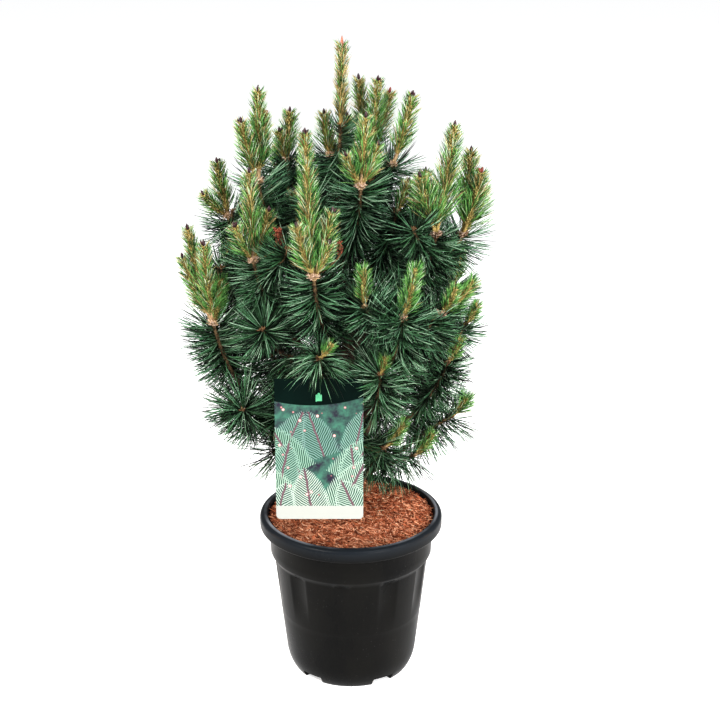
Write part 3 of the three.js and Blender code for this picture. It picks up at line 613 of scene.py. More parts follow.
# %% The hang tag's place
TAG_WIDTH = 0.140
TAG_HEIGHT = 0.243
TAG_CENTRE_X = -0.049
TAG_Y = -0.200
TAG_BOTTOM = 0.372
TAG_HOLE_HEIGHT = 0.590
BOUGH_TIP_RADIUS = 0.0044
TIE_RADIUS = 0.0014
TIE_RISE = 0.013
TIE_PULL = 0.001
TIE_FORWARD = 0.0034
TIE_BEHIND = 0.008
TIE_LOOSE = 1.3
TIE_RING_TURNS = range(-120, -450, -30)
TIE_RING_TOP = 0.0015
TIE_RING_DROP = 0.0003


def smooth_through(points, steps=12):
    """A smooth line through given points."""
    p = np.asarray(points, float)
    p = np.concatenate([[2 * p[0] - p[1]], p, [2 * p[-1] - p[-2]]])
    t = np.linspace(0, 1, steps, endpoint=False)[:, None]
    parts = []
    for a, b, c, d in zip(p, p[1:], p[2:], p[3:]):
        parts.append(0.5 * (2 * b + (c - a) * t + (2 * a - 5 * b + 4 * c - d) * t ** 2
                            + (3 * b - a - 3 * c + d) * t ** 3))
    return Path(np.concatenate(parts + [p[-2:-1]]))


def tie_path():
    """The tie rings the stem behind the tag and comes forward through the tag's hole."""
    stem_path = next(mass.path for mass in masses if mass.name == "front_low")
    share = 1.0
    while stem_path.at(share)[2] > TAG_HOLE_HEIGHT + TIE_RISE:
        share -= 0.005
    stem = stem_path.at(share)
    ring = BOUGH_TIP_RADIUS * TIE_LOOSE + CLEARANCE + TIE_RADIUS
    points = []
    for n, degrees in enumerate(TIE_RING_TURNS):
        turn = math.radians(degrees)
        rise = TIE_RING_TOP - TIE_RING_DROP * n
        points.append(stem + (ring * math.cos(turn), ring * math.sin(turn) - TIE_PULL, rise))
    points.append((TAG_CENTRE_X, TAG_Y + TIE_BEHIND, TAG_HOLE_HEIGHT))
    points.append((TAG_CENTRE_X, TAG_Y, TAG_HOLE_HEIGHT))
    points.append((TAG_CENTRE_X, TAG_Y - TIE_FORWARD, TAG_HOLE_HEIGHT - 0.001))
    return smooth_through(points)


def in_tag_space(p, margin):
    """Whether a point is in front of the card or too near it."""
    beside = abs(p[0] - TAG_CENTRE_X) < TAG_WIDTH / 2 + margin
    level = TAG_BOTTOM - margin < p[2] < TAG_BOTTOM + TAG_HEIGHT + margin
    return beside and level and p[1] < TAG_Y + margin


print("the tie rings its stem", round(tie_path().at(0.0)[2], 3), "m above the floor")

# %% [markdown]
# ## Side shoots
#
# Shoots fork from each stem to either side in turn and turn up towards the light, but only where there
# is room: clear of the other twigs, the trunk, the boughs and the hang tag. The rule tests each one in
# order, as a gardener would thin a crown, so a shoot can close the door on a later one.

# %% Side shoots
BOUGH_SWELL = 0.011
TIE_KEEP_OFF = 0.009
LIMB_STEP = 0.005
SIDE_SHOOTS = (0.24, 0.44, 0.62, 0.8)
SIDE_TURN_LEAST = 70
SIDE_TURN_MORE = 60
SIDE_LENGTH_LEAST = 0.072
SIDE_LENGTH_MORE = 0.024
SIDE_OUT = 0.75
SIDE_RISE = 0.66
SIDE_STEPS = 12
SIDE_BARE_SHARE = 0.25
TWIG_ROOM = 0.042
TAG_ROOM = 0.040
LIMB_ROOM = 0.008
BEYOND_HUB = 0.006
HIGHEST_FORK = 0.870
SIDE_BUD_LEAST = 0.014
SIDE_BUD_FROM = 0.720
SIDE_BUD_GROWTH = 0.32
SIDE_BUD_STEPS = 6


def chance(n):
    """A repeatable number from 0 to 1 for each n."""
    s = math.sin(n * 12.9898) * 43758.5453
    return s - math.floor(s)


def bough_radius(mass, share):
    """A bough tapers from the trunk to the stem that carries its foliage."""
    end = mass.stem_from or 1.0
    return lerp(BOUGH_TIP_RADIUS + BOUGH_SWELL * mass.path.length, BOUGH_TIP_RADIUS, min(share / end, 1.0))


def limb_points():
    """Points along everything that twigs and needles keep clear of, each with its radius."""
    heights = np.arange(SOIL_TOP, TRUNK_TOP + 0.001, LIMB_STEP)
    rows = [(*trunk_point(height), trunk_radius(height)) for height in heights]
    for mass in masses:
        if mass.stem_from:
            steps = math.ceil(mass.path.length * mass.stem_from / LIMB_STEP)
            for share in np.linspace(0, mass.stem_from, steps + 1):
                rows.append((*mass.path.at(share), bough_radius(mass, share)))
    rows += [(*p, TIE_KEEP_OFF) for p in tie_path().at(np.linspace(0, 1, 31))]
    return np.array(rows)


def all_axes():
    """The points along every twig so far."""
    return np.concatenate([twig.axis for mass in masses for twig in mass.shoots + mass.candles])


def has_room(mass, fork, tip):
    """Whether a side shoot's tip is clear of the other twigs, the trunk and the tag."""
    crowded = np.linalg.norm(all_axes() - tip, axis=1).min() < TWIG_ROOM
    in_trunk = np.linalg.norm(tip - trunk_point(tip[2])) < TWIG_ROOM
    reach = math.hypot(tip[0], tip[1]) - math.hypot(mass.hub[0], mass.hub[1])
    outside = reach > BEYOND_HUB or fork[2] > HIGHEST_FORK
    return not (crowded or in_trunk or in_tag_space(tip, TAG_ROOM) or outside)


def grow_side_shoots(mass, limbs):
    """The side shoots of one stem, each with its own small candle."""
    away = mass.hub - trunk_point(mass.hub[2])
    outward = math.atan2(away[1], away[0])
    for n, share in enumerate(SIDE_SHOOTS):
        seed = mass.number * 10 + n + 1
        fork = mass.path.at(lerp(mass.shoots[0].needles_from, 1, share))
        side = 1 if (n + mass.number) % 2 == 0 else -1
        turn = outward + side * math.radians(SIDE_TURN_LEAST + SIDE_TURN_MORE * chance(seed))
        sideways = np.array([math.cos(turn), math.sin(turn), 0.0])
        length = SIDE_LENGTH_LEAST + SIDE_LENGTH_MORE * chance(seed + 0.5)
        tip = fork + SIDE_OUT * length * sideways + SIDE_RISE * length * UP
        if not has_room(mass, fork, tip):
            continue
        path = branch_path(fork, tip)
        gaps = np.linalg.norm(path.at(np.linspace(0.2, 1, 9))[:, None] - limbs[None, :, :3], axis=2)
        if (gaps < limbs[:, 3] + LIMB_ROOM).any():
            continue
        mass.shoots.append(Twig(path, 0.0, SIDE_BARE_SHARE, SIDE_STEPS, side=True))
        bud = max(SIDE_BUD_LEAST, (tip[2] - SIDE_BUD_FROM) * SIDE_BUD_GROWTH * chance(seed + 0.25))
        line = Path([tip, tip + unit(0.25 * sideways + UP) * bud])
        mass.candles.append(Twig(line, 0.0, CANDLE_BARE_SHARE, SIDE_BUD_STEPS, side=True))


limbs = limb_points()
for mass in masses:
    grow_side_shoots(mass, limbs)
print(sum(twig.side for mass in masses for twig in mass.shoots), "side shoots")

# %% [markdown]
# ## Own space
#
# A needle may grow wherever its own mass is the nearest. A k-d tree of all the twigs' points answers
# that at once: the nearest point says whose space it is. A needle that would leave its space, touch a
# limb or hide a candle is shortened, and left out where too little of it would stay. Only the first
# seven tenths of a needle are tested, so that neighbours mesh together as real boughs do. A short way
# stays free in front of the strong knots, the pollen cones and a few candles, so that they show.

# %% Own space
SOFT_EDGE = 0.70
LIMB_CLEAR = 0.0010
CANDLE_CLEAR = 0.009
KNOT_CLEAR = 0.017
KNOT_CHANNEL = ((0.0, -0.020, 0.005), (0.0, -0.042, 0.013), (0.0, -0.064, 0.021))
STRONG_WHORL = 0.18
CONE_PLACES = ((-0.111, -0.122, 0.826), (-0.016, -0.165, 0.819))
SHOWN = ("top_left", "left_high")
SHOWN_SHARES = (0.15, 0.5, 0.85)
LOWEST_TIP = 0.292
TAG_TOP_DRAPE = 0.040
TAG_CLEAR = 0.003
TAG_SIDES = 0.14
TAG_BEHIND = 0.07
FIRST_TEST = 0.35
TESTS = (0.6, 0.8, 1.0)
SHORTEST_KEPT = 0.5


def tree_of(points):
    """A k-d tree, which finds the nearest of many points at once."""
    tree = kdtree.KDTree(len(points))
    for i, p in enumerate(points):
        tree.insert(p, i)
    tree.balance()
    return tree


twig_rows = [(p, mass.number, twig in mass.candles) for mass in masses
             for twig in mass.shoots + mass.candles for p in twig.axis]
strong_knots = [np.array(hub) for _, _, whorls in MASSES for hub, candles in whorls
                if sum(length for length, _ in candles) > STRONG_WHORL]
strong_knots += [np.array(place) for place in CONE_PLACES]
strong_knots += [twig.path.at(share) for mass in masses if mass.name in SHOWN
                 for twig in mass.candles if not twig.side for share in SHOWN_SHARES]
twig_tree = tree_of([p for p, _, _ in twig_rows])
limb_tree = tree_of(limbs[:, :3])
knot_tree = tree_of([hub + step for hub in strong_knots for step in KNOT_CHANNEL])


def on_needle(root, span, bend, share):
    """The point of a curved needle at a share of its length."""
    return root + span * share + bend * share ** 2


def hits_tag(root, span, bend):
    """Needles go round the tag: none crosses the card, and a few drape over its top edge."""
    if abs(root[0] - TAG_CENTRE_X) > TAG_SIDES or root[1] > TAG_Y + TAG_BEHIND:
        return False
    top = TAG_BOTTOM + TAG_HEIGHT
    before = root
    for tenth in range(1, 11):
        p = on_needle(root, span, bend, tenth / 10)
        beside = abs(p[0] - TAG_CENTRE_X) < TAG_WIDTH / 2 + TAG_CLEAR
        if beside and TAG_BOTTOM - TAG_CLEAR < p[2] < top + 0.002:
            in_card = TAG_Y - TAG_CLEAR < p[1] < TAG_Y + 0.004
            crossed = (before[1] - TAG_Y) * (p[1] - TAG_Y) < 0
            if in_card or crossed or (p[1] < TAG_Y and p[2] < top - TAG_TOP_DRAPE):
                return True
        before = p
    return False


def is_free(p, number):
    """Whether a point is in this mass's own space and clear of limbs and candles."""
    _, nearest, gap = twig_tree.find(p)
    _, owner, is_candle = twig_rows[nearest]
    if owner != number or (is_candle and gap < CANDLE_CLEAR) or p[2] < LOWEST_TIP:
        return False
    if knot_tree.find(p)[2] < KNOT_CLEAR:
        return False
    _, limb, gap = limb_tree.find(p)
    return gap > limbs[limb][3] + LIMB_CLEAR


def free_length(root, span, bend, number):
    """The share of a needle that may stay, or 0 where it can't grow."""
    if hits_tag(root, span, bend) or not is_free(on_needle(root, span, bend, FIRST_TEST), number):
        return 0.0
    kept = FIRST_TEST
    for share in TESTS:
        if not is_free(on_needle(root, span, bend, share * SOFT_EDGE), number):
            break
        kept = share
    return kept if kept > SHORTEST_KEPT else 0.0


print(len(twig_rows), "points on twigs,", len(limbs), "points on limbs")

# %% [markdown]
# ## Needles
#
# Mountain pine needles grow in pairs from a papery sheath, spiralling round the shoot by the golden
# angle. A needle is a curved three-sided spike: at less than two millimetres across nobody sees a fourth
# side, and there are some fifty thousand of them. Shades are dealt out needle by needle, each to a pile
# of its own, so every pile has one plain colour.

# %% Needles
SEED = 11
PAIR_SPREAD = (1, 6)


def dice(*numbers):
    """Random draws of its own for one part of the plant, the same in every run."""
    return np.random.default_rng([SEED, *numbers])


def needles(root, ahead, length, bend, radius, rings, rng):
    """Closed three-sided spikes, curved by bend and thickened by rings of (share, width)."""
    side = unit(np.cross(ahead, rng.normal(size=ahead.shape)))
    other = np.cross(ahead, side)
    span = ahead * length[:, None]
    rows = []
    for share, width in rings:
        middle = root + span * share + bend * share ** 2
        for k in range(3):
            turn = k * TURN / 3
            rows.append(middle + (side * math.cos(turn) + other * math.sin(turn)) * radius * width)
    rows.append(root + span + bend)
    points = np.stack(rows, 1)
    faces = [(0, 2, 1)]
    for ring in range(len(rings) - 1):
        for k in range(3):
            a, b = 3 * ring + k, 3 * ring + (k + 1) % 3
            faces += [(a, b, b + 3), (a, b + 3, a + 3)]
    last = 3 * (len(rings) - 1)
    faces += [(last + k, last + (k + 1) % 3, last + 3) for k in range(3)]
    starts = np.arange(len(root)) * points.shape[1]
    return points.reshape(-1, 3), (np.array(faces)[None] + starts[:, None, None]).reshape(-1, 3)


def seats(path, from_share, pairs_per_metre, radius, rng):
    """Where pairs of needles sit on a twig: how far up, their root and the axes there."""
    count = max(int(path.length * (1 - from_share) * pairs_per_metre), 6)
    grown = (np.arange(count) + rng.uniform(0.1, 0.9, count)) / count
    shares = from_share + (1 - from_share) * grown
    points, along, across, beside = frames(path, shares)
    turn = np.radians(GOLDEN_ANGLE) * np.arange(count) + rng.normal(0, 0.25, count)
    outward = across * np.cos(turn)[:, None] + beside * np.sin(turn)[:, None]
    return grown, points + outward * radius * 0.7, along, outward


def pair_directions(along, outward, spread, rng):
    """Two directions for each pair, some ten degrees apart."""
    count = len(along)
    directions = []
    for hand in (-1, 1):
        lean = np.radians(spread + hand * rng.uniform(*PAIR_SPREAD, count))[:, None]
        sideways = np.cross(along, outward) * (hand * rng.uniform(0.02, 0.12, count))[:, None]
        directions.append(unit(along * np.cos(lean) + outward * np.sin(lean) + sideways))
    return np.stack(directions, 1)


def deal(rng, count, weights):
    """A shade for each of two needles in every pair, by weight."""
    return rng.choice(len(weights), (count, 2), p=np.array(weights) / sum(weights))


def add_pairs(piles, chosen, shades, root, directions, length, bend, radius, rings, rng):
    """Makes the chosen needles of every pair, each on the pile of its shade."""
    for number, pile in enumerate(piles.values()):
        pick = chosen & (shades == number)
        if pick.any():
            two_roots = np.repeat(root[:, None], 2, axis=1)[pick]
            pile.add(*needles(two_roots, directions[pick], length[pick], bend[pick], radius, rings, rng))


print("first draw of the dice", round(dice(0).random(), 3))

# %% [markdown]
# ## Last season's needles
#
# Last year's needles are six centimetres long and dark. They stand out almost square from low on the
# stem, lean forwards near its tip and curve up a little. Their shades paint in light and shade: where light
# would fall, far from the trunk, high up and near a tip, more needles get the greyer and paler shades as
# painted highlights, and the rest get darker ones, down to near black, as painted shade. Low stems have
# shed their oldest needles, and on five stems most of those that face the front are gone, so that the
# wood shows as it does on a real plant.
#
# Where a short stem ends in front, its needles stand round its knot as a rosette. Each rosette is a very
# short twig with ragged needles, and the one at the left foot spreads forwards as a fan.

# %% Last season's needles
HUB_RADIUS = 0.004
OLD_NEEDLE = 0.063
OLD_RADIUS = 0.00071
OLD_RINGS = ((0.0, 0.8), (0.4, 1.0), (0.8, 0.8))
OLD_PAIRS_PER_METRE = 3300
OLD_SPREAD_LOW = 108
OLD_SPREAD_HIGH = 58
OLD_SPREAD_CURVE = 2.5
OLD_LONGEST = 1.05
OLD_TIP_LENGTH = 0.94
LIFT_LOW = 0.24
LIFT_HIGH = 0.08
LIFT_STRAY = 0.05
LOW_FULLNESS = 0.62
THIN_BELOW = 0.46
FULL_ABOVE = 0.62
SUNLESS_RADIUS = 0.05
SUNLESS_FADE = 0.14
SUNNY_HEIGHT = 0.66
SUNNY_FADE = 0.13
SUNNY_MOST = 0.9
PARTING = 0.78
PARTED_SHARE = 0.75
PARTED = ("front_centre", "left_front", "left_low", "left_high", "left_top")
THIN = {"left_high": 0.5, "left_foot": 0.30, "left_bottom": 1.15}
SHED = {"left_bottom": 0.50, "left_foot": 0.80, "front_right_low": 0.46, "right_low": 0.20,
        "right_mid": 0.20, "front_bottom": 0.12, "right_bottom": 0.22}
REACH = {"left_foot": 1.35, "right_mid": 0.82, "right_low": 0.92, "right_bottom": 1.2,
         "front_bottom": 1.1, "left_low": 1.12, "left_bottom": 1.1}
DRAPE = {"front_low": 0.55}
FAN = {"left_foot": 52}
# The darkest shades are painted shade for the inside of the crown, and the palest are partly painted
# highlight.
OLD_COLOURS = {
    "dusk": (rgb(3, 10, 4), rgb(8, 19, 9), 0.10),
    "deep": (rgb(9, 21, 11), rgb(20, 37, 21), 0.16),
    "dark": (rgb(30, 58, 35), rgb(48, 80, 50), 0.28),
    "green": (rgb(56, 98, 62), rgb(76, 120, 80), 0.28),
    "grey": (rgb(86, 126, 94), rgb(110, 150, 116), 0.28),
    "pale": (rgb(130, 159, 130), rgb(158, 184, 156), 0.28),
}
SHADED_WEIGHTS = (2.9, 2.8, 2.9, 1.6, 1.0, 0.3)
SUNLIT_WEIGHTS = (2.2, 1.9, 1.4, 2, 2.7, 1.6)
ROSETTE_LENGTH = 0.022
ROSETTE_DICE = 400
ROSETTES = (
    ("left_front", (-0.138, -0.150, 0.678), (-0.60, -0.70, 0.38)),
    ("left_bottom", (-0.1716, -0.150, 0.541), (-0.15, -0.94, 0.32)),
    ("front_right", (0.082, -0.200, 0.715), (0.12, -0.93, 0.20)),
    ("front_right", (0.024, -0.176, 0.724), (0.05, -0.93, 0.30)),
    ("front_right_low", (0.048, -0.188, 0.616), (0.10, -0.94, 0.10)),
    ("front_low", (-0.048, -0.192, 0.645), (0.0, -0.90, -0.25)),
    ("right_low", (0.158, -0.064, 0.588), (0.45, -0.80, 0.20)),
    ("right_mid", (0.146, -0.094, 0.684), (0.45, -0.85, 0.25)),
    ("left_foot", (-0.128, -0.036, 0.416), (-0.72, -0.40, -0.56)),
)
mass_named = {mass.name: mass for mass in masses}
old_piles = {shade: Pile() for shade in OLD_COLOURS}


@dataclass
class Habit:
    """How the old needles stand on one kind of shoot."""

    fullness: float = 1.0
    reach: float = 1.0
    shortest: float = 0.80
    stray: float = 7
    waver: float = 0.035
    lit: float = 1.0


STEM = Habit()
SIDE_SHOOT = Habit(reach=0.88, lit=0.4)
ROSETTE = Habit(fullness=1.4, shortest=0.66, stray=13, waver=0.12, lit=0.5)


def fullness(mass):
    """The share of a mass's needles that are there: fewer low down, where there is less light."""
    by_height = lerp(LOW_FULLNESS, 1.0, smooth_step(mass.hub[2], THIN_BELOW, FULL_ABOVE))
    return THIN.get(mass.name, by_height)


def sunlight(root, grown):
    """How much light each pair gets: more far from the trunk, high up and near the shoot's tip."""
    far = np.clip((np.hypot(root[:, 0], root[:, 1]) - SUNLESS_RADIUS) / SUNLESS_FADE, 0, 1)
    high = SUNNY_MOST * np.clip((root[:, 2] - SUNNY_HEIGHT) / SUNNY_FADE, 0, 1)
    return 0.6 * np.maximum(far, high) + 0.4 * grown


def is_bare(mass, grown, outward, rng):
    """Where a stem has lost its needles: towards the front on some, and low down on others."""
    parted = (outward[:, 1] < -PARTING) & (rng.random(len(grown)) < PARTED_SHARE)
    return (parted & (mass.name in PARTED)) | (grown < SHED.get(mass.name, 0.0))


def grow_old_needles(mass, twig, habit, rng):
    """Last season's needles round a twig, each kept as far as its space is free."""
    density = OLD_PAIRS_PER_METRE * fullness(mass) * habit.fullness
    grown, root, along, outward = seats(twig.path, twig.needles_from, density, HUB_RADIUS, rng)
    count = len(grown)
    spread = lerp(OLD_SPREAD_LOW, OLD_SPREAD_HIGH, grown ** OLD_SPREAD_CURVE)
    spread = spread + rng.normal(0, habit.stray, count)
    if habit is ROSETTE:
        spread -= FAN.get(mass.name, 0.0)
    directions = pair_directions(along, outward, spread, rng)
    length = OLD_NEEDLE * rng.uniform(habit.shortest, OLD_LONGEST, (count, 2))
    length *= lerp(1.0, OLD_TIP_LENGTH, grown)[:, None]
    length *= REACH.get(mass.name, 1.0) * habit.reach
    lift = (lerp(LIFT_LOW, LIFT_HIGH, grown) + rng.normal(0, LIFT_STRAY, count))[:, None, None]
    lift -= DRAPE.get(mass.name, 0.0)
    bend = (rng.normal(0, habit.waver, (count, 2, 3)) + lift * UP) * length[..., None]
    # Pairs where light would fall draw the paler shades and the others the darker ones: painted light and
    # shade.
    sunlit = (rng.random(count) < sunlight(root, grown) * habit.lit)[:, None]
    shades = np.where(sunlit, deal(rng, count, SUNLIT_WEIGHTS), deal(rng, count, SHADED_WEIGHTS))
    bare = is_bare(mass, grown, outward, rng) & (habit is STEM)
    kept = np.zeros((count, 2))
    for i in np.flatnonzero(~bare):
        for k in range(2):
            kept[i, k] = free_length(root[i], directions[i, k] * length[i, k], bend[i, k], mass.number)
    add_pairs(old_piles, kept > 0, shades, root, directions, length * kept, bend * kept[..., None] ** 2,
              OLD_RADIUS, OLD_RINGS, rng)


for mass in masses:
    for n, twig in enumerate(mass.shoots):
        grow_old_needles(mass, twig, SIDE_SHOOT if twig.side else STEM, dice(mass.number, n))
for n, (name, hub, axis) in enumerate(ROSETTES):
    hub, axis = np.array(hub), unit(np.array(axis))
    short_twig = Twig(Path([hub - axis * ROSETTE_LENGTH, hub]), 0.0, 0.0, 2)
    grow_old_needles(mass_named[name], short_twig, ROSETTE, dice(ROSETTE_DICE + n))

foliage = []
for shade, (dark, pale, gloss) in OLD_COLOURS.items():
    finish = mottled(f"needle_{shade}", dark, pale, 18, roughness=0.45, specular=gloss, bump_scale=900)
    foliage.append(old_piles[shade].piece(f"needles_old_{shade}", finish))

# %% [markdown]
# ## Candles
#
# The new season's shoots are called candles, and they make the plant's lively outline. Each rises pale
# and bare from its knot, bows a little outwards and turns golden. A raised diamond pattern shows where
# the needles' sheaths join it. A short candle low on the plant ends in a tuft of needles without a bud.

# %% Candles
CANDLE_RADIUS = 0.0033
CANDLE_TIP_RADIUS = 0.0022
CANDLE_FOOT_THINNER = 0.85
SIDE_THINNER = 0.85
BUD_LENGTH = 0.0110
BOW = 0.35
RESTING = 0.02
BARE_LENGTH = 0.008
STRONG_BARE_LENGTH = 0.021
TUFT_LENGTH = 0.090
HIGH_CANDLES = 0.77
LONG_NEEDLED = "right_high"
DIAMOND = 0.006
GOLDEN_FOOT_BELOW = 0.045
PALE_LAP = 0.03
CANDLE_DICE = 100
sheaths = Pile()
pale_wood = Pile()
golden_wood = Pile()


def is_resting(twig):
    """A candle that hasn't started: only a small closed bud."""
    return twig.path.length < RESTING


def is_tuft(twig):
    """A short candle low on the plant ends in a tuft of needles and shows no bud."""
    return twig.path.length < TUFT_LENGTH and twig.path.at(0.0)[2] < HIGH_CANDLES


def bowed(twig):
    """A candle's true line: it leaves its knot a little outwards and straightens up to its bud."""
    base = twig.path.at(0.0)
    room = BUD_LENGTH * (0.5 if is_tuft(twig) else 1.0)
    tip = twig.path.at(max(1 - room / twig.path.length, 0.6))
    t = np.linspace(0, 1, 13)[:, None]
    bow = (tip - base) * (1.0, 1.0, 0.0) * BOW
    return Path(base + (tip - base) * t + bow * t * (1 - t))


def diamond_bark(depth, columns, pitch):
    """Raised diamonds in spirals, where the needles' sheaths join a young shoot."""
    def relief(points, turns):
        """The extra radius at each point."""
        height = points[..., 2] / pitch * TURN
        up = np.cos(columns * turns[None] + height)
        down = np.cos(columns * turns[None] - height)
        return depth * np.maximum(up, 0) * np.maximum(down, 0)
    return relief


def bare_share(mass, path):
    """How much of a candle is bare at its foot, as a share of its length."""
    whorl = sum(candle.path.length for candle in mass.candles)
    strong = whorl > STRONG_WHORL and path.length > 0.1 and mass.name != "leader"
    return min(max(0.10, (STRONG_BARE_LENGTH if strong else BARE_LENGTH) / path.length), 0.4)


def add_candle_wood(mass, path, foot, radius_at):
    """A candle's foot, pale on most, and its golden shaft."""
    golden_foot = mass.name in ("leader", LONG_NEEDLED) or path.length < GOLDEN_FOOT_BELOW
    foot_pile = golden_wood if golden_foot else pale_wood
    foot_pile.add(*tube(path, 0.0, foot + PALE_LAP, 14, 10,
                        lambda share: CANDLE_FOOT_THINNER * radius_at(share),
                        diamond_bark(0.0010, 3, DIAMOND)))
    rings = max(int(path.length / 0.003), 8)
    golden_wood.add(*tube(path, foot, 1.0, rings, 8, radius_at, diamond_bark(0.0005, 3, DIAMOND)))


tufts = [twig for mass in masses for twig in mass.candles if is_tuft(twig) and not is_resting(twig)]
print(len(tufts), "of the candles are tufts")

# %% [markdown]
# ## Fresh needles
#
# This season's needles are half as long as last year's and still lie close to their candle, each pair
# in a papery tan sheath. The leader's are shorter and paler. Tufts are fuller, and candles high up have
# long needles at the foot and short ones towards the bud.

# %% Fresh needles
NEW_NEEDLE = 0.030
LEADER_NEEDLE = 0.028
YOUNGEST_NEEDLE = 0.013
NEEDLE_GROWTH = 0.22
NEW_RADIUS = 0.00062
NEW_RINGS = ((0.0, 0.9), (0.6, 0.9))
NEW_PAIRS_PER_METRE = 1850
NEW_SPREAD_LOW = 38
NEW_SPREAD_HIGH = 30
NEW_SPREAD_STRAY = 5
HIGH_SPREAD_TIP = 36
TIP_SPREAD = 14
TIP_SHORTER = 0.32
TUFT_FULLNESS = 1.8
TUFT_SHORTER = 0.86
TUFT_SPREAD = 5
TUFT_PARTING = 1.5
NEW_PARTING = 0.55
NEW_PARTED_SHARE = 0.45
LONG_FULLNESS = 1.15
LONGER = {"right_high": 1.42, "right_bottom": 1.5}
SHEATH_LENGTH = 0.0088
SHEATH_RADIUS = 0.00115
SHEATH_RINGS = ((0.0, 1.0), (0.75, 0.9))
NEW_COLOURS = {
    "shade": (rgb(38, 76, 36), rgb(56, 98, 46)),
    "leaf": (rgb(76, 128, 58), rgb(98, 152, 74)),
    "fresh": (rgb(104, 152, 76), rgb(132, 177, 100)),
    "light": (rgb(158, 176, 140), rgb(196, 208, 178)),
    "straw": (rgb(146, 126, 80), rgb(188, 168, 118)),
}
LOW_WEIGHTS = (2.9, 3.9, 3.1, 0.9, 0.6)
HIGH_WEIGHTS = (2.8, 2.0, 0.9, 2.9, 2.8)
TUFT_WEIGHTS = (2.6, 3.8, 3.2, 0.9, 0.3)
LEADER_WEIGHTS = (2.2, 1.2, 0.2, 1.0, 4.6)
new_piles = {shade: Pile() for shade in NEW_COLOURS}


def shade_weights(leader, tuft):
    """How often each shade falls near a candle's tip, and how often near its foot."""
    if leader:
        return LEADER_WEIGHTS, LEADER_WEIGHTS
    if tuft:
        return TUFT_WEIGHTS, TUFT_WEIGHTS
    return HIGH_WEIGHTS, LOW_WEIGHTS


def end_lengths(mass, leader, high_up, tuft):
    """How long the needles are at a candle's foot and at its tip, as shares of its full length."""
    if leader:
        return 0.95, 0.85
    if high_up:
        return 1.45, 0.52 if mass.name == LONG_NEEDLED else 0.76
    return 1.25, 0.9 if tuft else 0.78


def full_length(mass, path, leader, tuft):
    """The length of a candle's needles. A short candle's needles have had less time to grow."""
    grown_length = min(NEW_NEEDLE, YOUNGEST_NEEDLE + NEEDLE_GROWTH * path.length)
    longest = LEADER_NEEDLE if leader else grown_length
    return longest * LONGER.get(mass.name, TUFT_SHORTER if tuft else 1.0)


def grow_candle(mass, n, twig):
    """One candle: its wood, its fresh needles and a sheath for each pair."""
    rng = dice(CANDLE_DICE + mass.number, n)
    leader = mass.name == "leader"
    tuft = is_tuft(twig)
    path = bowed(twig)
    high_up = path.at(0.0)[2] > HIGH_CANDLES and not leader
    foot = bare_share(mass, path)

    def radius_at(share):
        """The candle's taper, a little thinner on a side shoot."""
        return lerp(CANDLE_RADIUS, CANDLE_TIP_RADIUS, share) * (SIDE_THINNER if twig.side else 1.0)

    add_candle_wood(mass, path, foot, radius_at)
    more = TUFT_FULLNESS if tuft else LONG_FULLNESS if mass.name == LONG_NEEDLED else 1.0
    grown, root, along, outward = seats(path, foot, NEW_PAIRS_PER_METRE * more, radius_at(0.5), rng)
    count = len(grown)
    at_tip = np.clip((grown - 0.8) / 0.2, 0, 1) * (0.0 if tuft else 1.0)
    spread = lerp(NEW_SPREAD_LOW, HIGH_SPREAD_TIP if high_up else NEW_SPREAD_HIGH, grown)
    spread = spread + TIP_SPREAD * at_tip + rng.normal(0, NEW_SPREAD_STRAY, count)
    spread += TUFT_SPREAD if tuft else 0.0
    directions = pair_directions(along, outward, spread, rng)
    foot_share, tip_share = end_lengths(mass, leader, high_up, tuft)
    by_place = lerp(foot_share, tip_share, grown) * (1 - TIP_SHORTER * at_tip)
    length = full_length(mass, path, leader, tuft) * rng.uniform(0.78, 1.06, (count, 2)) * by_place[:, None]
    inwards = -outward[:, None] * rng.uniform(0.0, 0.16, (count, 2, 1))
    bend = (inwards + rng.normal(0, 0.03, (count, 2, 3))) * length[..., None]
    tip_weights, foot_weights = shade_weights(leader, tuft)
    tip_shades, foot_shades = deal(rng, count, tip_weights), deal(rng, count, foot_weights)
    shades = np.where((rng.random(count) < 0.15 + 0.8 * grown)[:, None], tip_shades, foot_shades)
    parted_share = NEW_PARTED_SHARE * (TUFT_PARTING if tuft else 1.0)
    parted = (outward[:, 1] < -NEW_PARTING) & (rng.random(count) < parted_share) & (not leader)
    add_pairs(new_piles, ~parted[:, None], shades, root, directions, length, bend, NEW_RADIUS, NEW_RINGS, rng)
    middle = unit(directions.mean(axis=1))
    sheath = SHEATH_LENGTH * rng.uniform(0.7, 1.1, count) * (0.6 if leader else 0.8 if tuft else 1.0)
    sheaths.add(*needles(root, middle, sheath, np.zeros((count, 3)), SHEATH_RADIUS, SHEATH_RINGS, rng))


for mass in masses:
    for n, twig in enumerate(mass.candles):
        if not is_resting(twig):
            grow_candle(mass, n, twig)

for shade, (dark, pale) in NEW_COLOURS.items():
    finish = mottled(f"needle_{shade}", dark, pale, 25, roughness=0.5, specular=0.35, bump_scale=900)
    foliage.append(new_piles[shade].piece(f"needles_new_{shade}", finish))
sheath_finish = mottled("sheath_tan", rgb(128, 114, 62), rgb(190, 174, 112), 120, 0.75, 0.2)
foliage.append(sheaths.piece("needle_sheaths", sheath_finish))
golden_finish = mottled("candle_golden", rgb(106, 88, 44), rgb(174, 150, 90), 160, 0.65, 0.3)
foliage.append(golden_wood.piece("candle_wood", golden_finish))

# %% [markdown]
# ## Knots
#
# A knot marks where each whorl's candles start, wrapped in the torn bud scales that the candles pushed
# through: tan ones close to the wood and pale papery ones outside. It is a little turned ball, roughened
# by noise. The more candles rise from a knot, the larger it is and the more scales it has.

